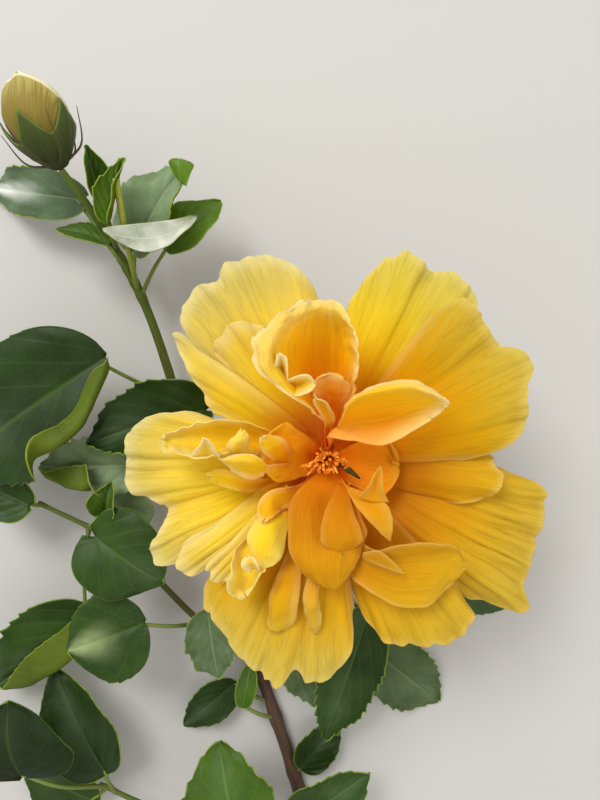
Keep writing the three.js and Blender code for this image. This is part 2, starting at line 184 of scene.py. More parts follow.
world = bpy.data.worlds.new("soft_sky")
world.use_nodes = True
world.node_tree.nodes["Background"].inputs["Color"].default_value = linear("#f2f1ee")
world.node_tree.nodes["Background"].inputs["Strength"].default_value = 0.86
scene.world = world
scene.view_settings.view_transform = "Standard"
print("lamps:", len(LAMPS))

# %% [markdown]
# ## Curves and sheets
# A smooth value through equally spaced numbers is all the mathematics that the shapes need.
# A petal's rim, a stem's route and the tilt of a petal from foot to rim are each such a row.

# %% Smooth rows


def between(values, u):
    """Smooth value at u in -1..1 through equally spaced values."""
    n = len(values) - 1
    x = (u + 1) / 2 * n
    i = min(max(int(x), 0), n - 1)
    t = x - i
    b, c = values[i], values[i + 1]
    a = values[i - 1] if i > 0 else 2 * b - c
    d = values[i + 2] if i + 2 <= n else 2 * c - b
    bend = 2 * a - 5 * b + 4 * c - d
    return 0.5 * (2 * b + (c - a) * t + bend * t * t + (3 * b - a - 3 * c + d) * t ** 3)


def path_point(points, t):
    return Vector([between([p[k] for p in points], 2 * t - 1) for k in range(3)])


def soft_step(low, high, x):
    t = min(max((x - low) / (high - low), 0.0), 1.0)
    return t * t * (3 - 2 * t)


print("half way through 0, 1, 4 is", between([0, 1, 4], 0))

# %% [markdown]
# A petal or leaf starts as a flat grid. Each vertex keeps its place across (u) and along (v) as a UV,
# and its distance to the rim in millimetres as an attribute, because thin rims catch the light
# and are paler. It moves to its place in space and then along its own normal, which makes the crinkles,
# and a Solidify modifier gives the sheet its thickness.

# %% Sheets


def grid(across, along):
    """A bmesh grid with a UV for each corner and a rim distance for each vertex."""
    bm = bmesh.new()
    uv = bm.loops.layers.uv.new("UVMap")
    bm.verts.layers.float.new("rim_mm")
    bmesh.ops.create_grid(bm, x_segments=across, y_segments=along, size=1)
    for face in bm.faces:
        face.smooth = True
        for loop in face.loops:
            loop[uv].uv = ((loop.vert.co.x + 1) / 2, (loop.vert.co.y + 1) / 2)
    return bm


def sheet(name, point, across, along, thickness, materials, slot, replaces, spread=1.0):
    """point(u, v) gives a place, a rim distance and a crinkle's height, all in mm."""
    bm = grid(across, along)
    rim = bm.verts.layers.float["rim_mm"]
    heights = {}
    for vert in bm.verts:
        v = 1 - (1 - (vert.co.y + 1) / 2) ** spread
        spot, vert[rim], heights[vert] = point(vert.co.x, v)
        vert.co = place(spot)
    bm.normal_update()
    if sum(face.calc_area() * face.normal.z for face in bm.faces) < 0:
        bmesh.ops.reverse_faces(bm, faces=bm.faces)
        bm.normal_update()
    for vert, height in heights.items():
        vert.co += vert.normal * height * MM
    piece = finish(bm, name, materials, replaces)
    wall = piece.modifiers.new("thickness", "SOLIDIFY")
    wall.thickness, wall.offset = thickness * MM, 0.0
    wall.material_offset = len(materials) - 1
    wall.material_offset_rim = len(materials) - 1
    return piece


print("a sheet of 40 by 30 has", 40 * 30, "faces before it gets its thickness")

# %% [markdown]
# ## Stems
# A young hibiscus stem is green and smooth, and turns brown and rough as it ages. It swells at each node,
# where a leaf stalk leaves it. Each limb is a grid rolled round a smooth route and welded along its seam.
# The bark's ridges are real relief, a tenth of a millimetre high, and the colour follows the stem.

# %% Bark, shoot and cut wood


def stem_material(name, stops, roughness, streak):
    """Young bark: colour along the stem, streaks a millimetre apart along the fibres."""
    material, tree = new_material(name)
    uv = add(tree, "ShaderNodeUVMap", uv_map="UVMap")
    fibres = add(tree, "ShaderNodeMapping", {"Vector": uv.outputs[0], "Scale": (18, 30, 1)})
    grain = add(tree, "ShaderNodeTexNoise", {"Vector": fibres.outputs[0], "Scale": 1.0, "Detail": 6.0})
    coordinates = add(tree, "ShaderNodeTexCoord")
    blotch = add(tree, "ShaderNodeTexNoise", {"Vector": coordinates.outputs["Object"], "Scale": 160.0})
    split = add(tree, "ShaderNodeSeparateXYZ", {0: uv.outputs[0]})
    shift = add(tree, "ShaderNodeMath", {0: blotch.outputs[0], 1: 0.16, 2: -0.08}, operation="MULTIPLY_ADD")
    along = add(tree, "ShaderNodeMath", {0: split.outputs[1], 1: shift.outputs[0]}, operation="ADD")
    colour = add(tree, "ShaderNodeValToRGB", {0: along.outputs[0]}, stops)
    dark = add(tree, "ShaderNodeMapRange", {0: grain.outputs[0], 1: 0.35, 2: 0.7, 3: 1.0 - streak, 4: 1.0})
    shade = add(tree, "ShaderNodeMix", {0: 1.0, 6: colour.outputs[0], 7: dark.outputs[0]},
                data_type="RGBA", blend_type="MULTIPLY")
    bump = add(tree, "ShaderNodeBump", {"Height": grain.outputs[0], "Strength": 0.5, "Distance": 0.0003})
    surface = add(tree, "ShaderNodeBsdfPrincipled",
                  {"Base Color": shade.outputs[2], "Roughness": roughness,
                   "Specular IOR Level": 0.25, "Normal": bump.outputs[0]})
    add(tree, "ShaderNodeOutputMaterial", {"Surface": surface.outputs[0]})
    return material


bark = stem_material("young_hibiscus_bark", [
    (0.0, "#5e4536"), (0.35, "#574232"), (0.5, "#4c4c1a"), (0.75, "#546014"), (1.0, "#4e5e10"),
], 0.7, 0.45)
branch_bark = stem_material("side_branch_bark", [(0.0, "#5c4a38"), (0.3, "#5a5a2e"), (1.0, "#66762f")], 0.65, 0.4)
shoot = stem_material("green_shoot", [(0.0, "#50601a"), (1.0, "#5e721c")], 0.5, 0.2)
bare_stalk = stem_material("yellow_green_stalk", [(0.0, "#6c7c2c"), (1.0, "#a4a83c")], 0.5, 0.15)
stalk = stem_material("leaf_stalk", [(0.0, "#66702f"), (0.6, "#6f8238"), (1.0, "#7f9240")], 0.5, 0.2)

pith = mottled("pale_cut_wood", "#c3ad84", "#ddcda6", 2500.0, 0.8, 0.0001)
print("stem finishes:", bark.name, branch_bark.name, shoot.name, stalk.name, pith.name)

# %% Stem routes
# radii at the two ends in mm, then the points that the stem passes through
STEMS = {
    "main_stem": (2.75, 1.5, [
        (15, -218, 2.75), (-6, -150, 3.2), (-28, -84, 5), (-46, -18, 10), (-62, 36, 17), (-77, 68, 28)]),
    "left_branch": (1.5, 0.9, [(-19, -114, 4.2), (-44, -91, 10), (-73, -60, 16), (-107, -42, 16)]),
    "lower_left_branch": (1.5, 0.9, [(9, -197, 3), (-32, -184, 8), (-62, -171, 10), (-84, -161, 10)]),
    "bloom_pedicel": (1.4, 1.7, [(-36, -56, 7), (-14, -44, 8), (7, -25, 13), (9.3, -21, 23.2)]),
    "bud_stalk": (1.4, 1.3, [(-76, 66, 27), (-81, 75, 36), (-85.9, 82.6, 45.6)]),
}
print("stems:", ", ".join(STEMS))

# %% Limbs


def limb(bm, r0, r1, points, sides, rows, relief=lambda t, turn: 0.0):
    """Adds a closed tapering limb to a bmesh that holds nothing else yet."""
    first, last = Vector(points[0]), Vector(points[-1])
    plane = (Vector(points[1]) - first).cross(last - first)
    if plane.length < 1e-3:
        plane = Vector((0.3, 0.2, 1))
    for vert in bm.verts:
        turn, t = pi * vert.co.x, (vert.co.y + 1) / 2
        middle = path_point(points, t)
        tangent = (path_point(points, t + 0.01) - path_point(points, t - 0.01)).normalized()
        across = (plane - tangent * plane.dot(tangent)).normalized()
        other = tangent.cross(across)
        radius = (r0 + (r1 - r0) * t) * (1 + relief(t, turn))
        vert.co = place(middle + across * radius * cos(turn) + other * radius * sin(turn))
    bmesh.ops.remove_doubles(bm, verts=bm.verts, dist=1e-7)
    caps = bmesh.ops.holes_fill(bm, edges=bm.edges)["faces"]
    for cap in caps:
        cap.material_index = 1
        for edge in cap.edges:
            edge.smooth = False
    bmesh.ops.recalc_face_normals(bm, faces=bm.faces)


def stem(name, material, sides, rows, swellings=()):
    """One stem with ridged bark, a little thicker at its nodes."""
    def relief(t, turn):
        ridge = noise.noise(Vector((3 * cos(turn), 3 * sin(turn), 30 * t)))
        fine = noise.noise(Vector((9 * cos(turn), 9 * sin(turn), 160 * t)))
        knot = sum(0.22 * exp(-((t - spot) / 0.012) ** 2) for spot in swellings)
        return 0.05 * ridge + 0.03 * fine + knot
    bm = grid(sides, rows)
    r0, r1, points = STEMS[name]
    limb(bm, r0, r1, points, sides, rows, relief)
    print(name, len(bm.faces), "faces")
    return finish(bm, name, [material, pith], name)


stem("main_stem", bark, 28, 420, (0.10, 0.14, 0.17, 0.24, 0.3, 0.56, 0.58, 0.66, 0.83, 0.86, 0.89, 0.92, 0.97))
stem("left_branch", branch_bark, 20, 180, (0.2, 0.3, 0.62, 0.7, 0.8, 0.98))
stem("lower_left_branch", branch_bark, 20, 160, (0.9, 0.96))
stem("bloom_pedicel", shoot, 20, 90, (0.3, 0.45, 0.6))
stem("bud_stalk", shoot, 20, 50)

# %% [markdown]
# ## The open bloom
# The bloom is a double one: round a short column stand a dozen broad petals, and inside them
# some twenty petal-like blades that grew in place of stamens. A broad petal is a fan from the bloom's axis.
# Its row gives how far the rim reaches at equal steps from one side to the other,
# and how steeply the petal climbs from its foot to its rim.

# %% Rows of the broad petals
BLOOM_AXIS = (9.3, -21.0)
# azimuth, half fan, reach, tilts, foot height, foot radius, lift of the sides, ruffle, waves, phase;
# height of the pleats, number of pleats, finish
PETALS = {
    "upper_left_back": (115, 25, (54, 65, 72, 74, 73, 72, 65), (50, 15, -10),
                        40, 3, 2.5, 1.5, 2.5, 0.1, 0.5, 9, "lemon"),
    "upper_left_front": (147, 11, (60, 66, 60, 53, 48, 44, 40), (55, 22, 2),
                         42, 3, 3, 1, 1.5, 0.3, 0.3, 5, "lemon"),
    "upper_right_back": (63, 21, (68, 74, 76, 73, 75, 66, 52), (50, 15, -10),
                         40, 3, 2.5, 1.5, 3, 0, 0.6, 10, "sunny"),
    "right_upper": (29, 28, (48, 61, 66, 70, 65, 68, 66), (55, 25, 5),
                    42, 3, 1.5, 1, 2, 0.6, 0.3, 7, "golden"),
    "right_middle": (-8, 13, (38, 47, 54, 57, 57, 55, 52), (52, 20, 2),
                     41, 3, 1, 1, 1.5, 0.2, 0.3, 4, "amber"),
    "right_lower": (-25, 22, (69, 74, 84, 80, 78, 77, 76, 77, 68), (45, 10, -15),
                    39, 3, 2.5, 1.5, 4, 0.4, 1.1, 13, "amber"),
    "bottom_right": (-61, 18, (52, 62, 66, 69, 73, 72, 68), (50, 15, -5),
                     40, 3, 2, 1.2, 3, 0.2, 0.5, 8, "amber"),
    "bottom": (-109, 30, (53, 60, 64, 66, 68, 70, 73, 76, 69, 74, 72, 65, 57), (50, 15, -5),
               40, 3, 2, 1.2, 3, 0.7, 0.6, 11, "bronze"),
    "left": (187, 28, (50, 63, 67, 68, 67, 59, 60, 68, 66), (50, 15, -8),
             40, 3, 2.5, 2, 4, 0.1, 0.9, 14, "lemon"),
    "inner_upper_left": (125, 13, (47, 52, 56, 54, 50), (52, 25, 5),
                         41, 2.5, 1.5, 1.5, 2, 0, 0.3, 4, "lemon"),
    "left_lobe_low": (-145, 7, (55, 59, 56), (52, 20, 0),
                      42, 2.5, 0.9, 1, 1, 0.2, 0.5, 5, "lemon"),
    "left_lobe_lower": (-135, 7, (50, 53, 52, 47), (55, 24, 4),
                        43, 2.5, 0.9, 1, 1, 0.6, 0.5, 5, "lemon"),
}
print("broad petals:", len(PETALS))

# %% [markdown]
# ## Petal skin
# A hibiscus petal is thin, matt and velvety. Light shines through it, so it is part translucent.
# Its colour follows the distance from the throat: deep orange inside, golden yellow half way and
# pale lemon outside, with fine darker veins that fan out from the foot. One function makes the skin, and
# each group of petals gets its own row of colours, with the distance in millimetres.

# %% Petal skins
THROAT = Vector((BLOOM_AXIS[0], BLOOM_AXIS[1], 50))
PETAL_SPAN = 80.0


def petal_skin(name, stops, rim, margin, paleness, glow=0.3):
    """Velvety petal: colour by distance from the throat, fanning veins, a pale margin that is partly the petal's own
    paler edge and partly painted highlight.
    """
    material, tree = new_material(name)
    uv = add(tree, "ShaderNodeUVMap", uv_map="UVMap")
    fan = add(tree, "ShaderNodeMapping", {"Vector": uv.outputs[0], "Scale": (34, 2.2, 1)})
    fibres = add(tree, "ShaderNodeTexNoise", {"Vector": fan.outputs[0], "Scale": 1.0, "Detail": 3.0,
                                              "Distortion": 0.3})
    off = add(tree, "ShaderNodeMath", {0: fibres.outputs[0], 1: 0.5}, operation="SUBTRACT")
    near = add(tree, "ShaderNodeMath", {0: off.outputs[0]}, operation="ABSOLUTE")
    veins = add(tree, "ShaderNodeMapRange", {0: near.outputs[0], 1: 0.0, 2: 0.05, 3: 1.0, 4: 0.0},
                interpolation_type="SMOOTHSTEP")
    coordinates = add(tree, "ShaderNodeTexCoord")
    cloud = add(tree, "ShaderNodeTexNoise", {"Vector": coordinates.outputs["Object"], "Scale": 70.0, "Detail": 3.0})
    away = add(tree, "ShaderNodeVectorMath", {0: coordinates.outputs["Object"], 1: place(THROAT)}, operation="DISTANCE")
    share = add(tree, "ShaderNodeMath", {0: away.outputs["Value"], 1: 1 / (PETAL_SPAN * MM)}, operation="MULTIPLY")
    drift = add(tree, "ShaderNodeMath", {0: cloud.outputs[0], 1: 0.16, 2: -0.08}, operation="MULTIPLY_ADD")
    streak = add(tree, "ShaderNodeMath", {0: fibres.outputs[0], 1: 0.2, 2: -0.1}, operation="MULTIPLY_ADD")
    moved = add(tree, "ShaderNodeMath", {0: share.outputs[0], 1: drift.outputs[0]}, operation="ADD")
    along = add(tree, "ShaderNodeMath", {0: moved.outputs[0], 1: streak.outputs[0]}, operation="ADD")
    blade = add(tree, "ShaderNodeValToRGB", {0: along.outputs[0]}, [(mm / PETAL_SPAN, code) for mm, code in stops])
    depth = add(tree, "ShaderNodeMath", {0: veins.outputs[0], 1: -VEIN_DEPTH, 2: 1.0}, operation="MULTIPLY_ADD")
    veined = add(tree, "ShaderNodeMix", {0: 1.0, 6: blade.outputs[0], 7: depth.outputs[0]},
                 data_type="RGBA", blend_type="MULTIPLY")
    distance = add(tree, "ShaderNodeAttribute", attribute_name="rim_mm")
    outer = add(tree, "ShaderNodeMapRange", {0: share.outputs[0], 1: 0.3, 2: 0.6, 3: 0.1, 4: 1.0})
    wide = add(tree, "ShaderNodeMapRange", {0: distance.outputs["Fac"], 1: 0.0, 2: margin, 3: paleness, 4: 0.0},
               interpolation_type="SMOOTHSTEP")
    # painted highlight: the thinnest rim is paler still, as if it caught the light
    thin = add(tree, "ShaderNodeMapRange", {0: distance.outputs["Fac"], 1: 0.1, 2: 0.45, 3: 0.6, 4: 0.0})
    both = add(tree, "ShaderNodeMath", {0: wide.outputs[0], 1: thin.outputs[0]}, operation="MAXIMUM")
    edge = add(tree, "ShaderNodeMath", {0: both.outputs[0], 1: outer.outputs[0]}, operation="MULTIPLY")
    colour = add(tree, "ShaderNodeMix", {0: edge.outputs[0], 6: veined.outputs[2], 7: linear(rim)}, data_type="RGBA")
    bump = add(tree, "ShaderNodeBump", {"Height": fibres.outputs[0], "Strength": 0.3, "Distance": 0.0004})
    skin = add(tree, "ShaderNodeBsdfPrincipled", {
        "Base Color": colour.outputs[2], "Roughness": 0.6, "Specular IOR Level": 0.1, "Normal": bump.outputs[0]})
    through = add(tree, "ShaderNodeBsdfTranslucent", {"Color": colour.outputs[2]})
    mix = add(tree, "ShaderNodeMixShader", {0: glow, 1: skin.outputs[0], 2: through.outputs[0]})
    add(tree, "ShaderNodeOutputMaterial", {"Surface": mix.outputs[0]})
    return material


VEIN_DEPTH = 0.12
# millimetres from the throat and the colour there; colour, width and strength of the pale margin, which is partly
# painted highlight
SKINS = {
    "lemon": petal_skin("lemon_petal", [
        (12, "#ffa416"), (24, "#ffca18"), (34, "#ffe022"), (46, "#fee03c"), (57, "#f1d654"),
        (68, "#dfca64"), (76, "#dfce74")], "#f6eebc", 6.0, 0.4),
    "sunny": petal_skin("sunny_petal", [
        (12, "#ffa012"), (26, "#fab610"), (40, "#f8cc14"), (52, "#efd226"), (64, "#e4cc40"),
        (76, "#dcca5c")], "#f2e698", 4.0, 0.35),
    "golden": petal_skin("golden_petal", [
        (12, "#ff980c"), (26, "#f09e08"), (40, "#e6a604"), (52, "#deaa06"), (62, "#d8b226"),
        (72, "#d4b842")], "#eedc80", 4.0, 0.35),
    # amber: the right-hand petals, deeper than the lemon ones partly by their own colour and partly as painted shade on
    # the side away from the big lamp
    "amber": petal_skin("amber_petal_painted_shade", [
        (12, "#fb900a"), (24, "#e28a08"), (36, "#dc940a"), (45, "#e0a410"), (54, "#e0b01a"),
        (64, "#dcb42a"), (76, "#d8b83c")], "#eed27e", 3.0, 0.35),
    "bronze": petal_skin("bronze_petal", [
        (12, "#fb920a"), (28, "#ea9c0c"), (42, "#eaaa0c"), (52, "#e6b414"), (61, "#deb834"),
        (72, "#dac04e")], "#ead68a", 4.0, 0.35),
    # orange: the hood and the right curl; their broad pale rims are partly painted highlight where the rolled rims
    # catch the light
    "orange": petal_skin("orange_petal", [
        (12, "#ff980a"), (28, "#ffba10"), (38, "#ffce18"), (47, "#ffda24"), (55, "#fde048"),
        (64, "#fae488")], "#fff2b4", 8.0, 0.9, 0.45),
    "cream": petal_skin("cream_petal", [
        (12, "#ff9c0c"), (28, "#fcba12"), (38, "#f8cc1c"), (50, "#f6d64c"), (62, "#f2e092")],
        "#fff4c8", 3.0, 0.6),
}
print("petal skins:", ", ".join(SKINS))

# %% [markdown]
# The fan's shape: the tilt is added up from foot to rim, so a petal leaves the tube steeply and
# then lies back. Ruffles grow towards the rim, pleats run along the veins, and a crinkle with a wavelength
# of half a centimetre keeps one petal from looking like its neighbour. The corners of the rim are rounded.

# %% Broad petals
PETAL_THICKNESS = 0.4
TILT_STEPS = 10


def wrinkle(x, y, seed):
    """Smooth noise from -1 to 1, with x and y counted in wavelengths."""
    return noise.noise(Vector((x, y, 7.3 * seed + 0.5)))


FOOT_FAN = 36.0


def fan_point(row, seed, u, v):
    azimuth, fan, reach, tilts, z0, r0, lift, ruffle, waves, phase, height, pleats = row
    out = up = full = 0.0
    for k in range(TILT_STEPS):
        w = (k + 0.5) / TILT_STEPS
        tilt = radians(between(tilts, 2 * w - 1) + lift * u * u * w)
        share = min(max(v * TILT_STEPS - k, 0.0), 1.0) / TILT_STEPS
        full += cos(tilt) / TILT_STEPS
        out += cos(tilt) * share
        up += sin(tilt) * share
    corner = 1 - 0.12 * soft_step(0.8, 1.0, abs(u)) ** 2
    length = between(reach, u) * corner
    scale = (length - r0) / max(full, 0.15)
    rho = r0 + out * scale
    arc = u * radians(fan) * length
    frill = ruffle * v ** 2.5 * sin(pi * (waves * u + 2 * phase))
    frill += 0.4 * ruffle * v ** 4 * sin(pi * (2.3 * waves * u + 4 * phase))
    rho += v ** 5 * (1.8 * wrinkle(arc / 7, 0, seed) + 0.9 * wrinkle(arc / 3, 3, seed))
    rho -= 5.0 * v ** 8 * max(0.0, wrinkle(arc / 4.5, 8, seed) - 0.2)
    lean = u + 0.03 * wrinkle(rho / 15, 4 * u, seed + 30)
    pleat = abs(sin(0.5 * pi * pleats * lean)) ** 0.7 - 0.6
    crinkle = height * pleat * soft_step(0.3, 0.9, v) * (1 + 0.6 * wrinkle(arc / 12, rho / 18, seed))
    crinkle += 2.2 * v ** 6 * wrinkle(arc / 5, rho / 12, seed + 5) + 0.9 * v ** 10 * wrinkle(arc / 2.2, 0, seed + 7)
    crinkle += 0.8 * v * wrinkle(arc / 14, rho / 30, seed + 9)
    turn = radians(azimuth + u * (fan + max(0.0, FOOT_FAN - fan) * (1 - v) ** 2.2))
    spot = Vector((BLOOM_AXIS[0] + rho * cos(turn), BLOOM_AXIS[1] + rho * sin(turn), z0 + up * scale + frill))
    return spot, min((1 - abs(u)) * radians(fan) * rho, (1 - v) * length), crinkle


for seed, (name, row) in enumerate(PETALS.items()):
    across = round(row[1] * 3.2) + 14
    sheet("petal_" + name, lambda u, v: fan_point(row[:-1], seed, u, v), across, 60,
          PETAL_THICKNESS, [SKINS[row[-1]]], "petal", "bloom", 1.3)
print("broad petals made:", len(PETALS))

# %% [markdown]
# ## The blades in the heart
# Inside the ring of broad petals stand blades that grew in place of stamens. No two are alike: one is
# a hood with its rim rolled back, one a cupped shell, one a tongue, and those on the left
# are a tangle of frills. Such a blade is a loft: a few rows of places, from its foot to its rim,
# each from one side to the other, with a smooth surface through them. A blade that springs from
# the column also gets a claw, which narrows towards the column.

# %% Rows of the blades
AXIS = Vector((BLOOM_AXIS[0], BLOOM_AXIS[1], 0))
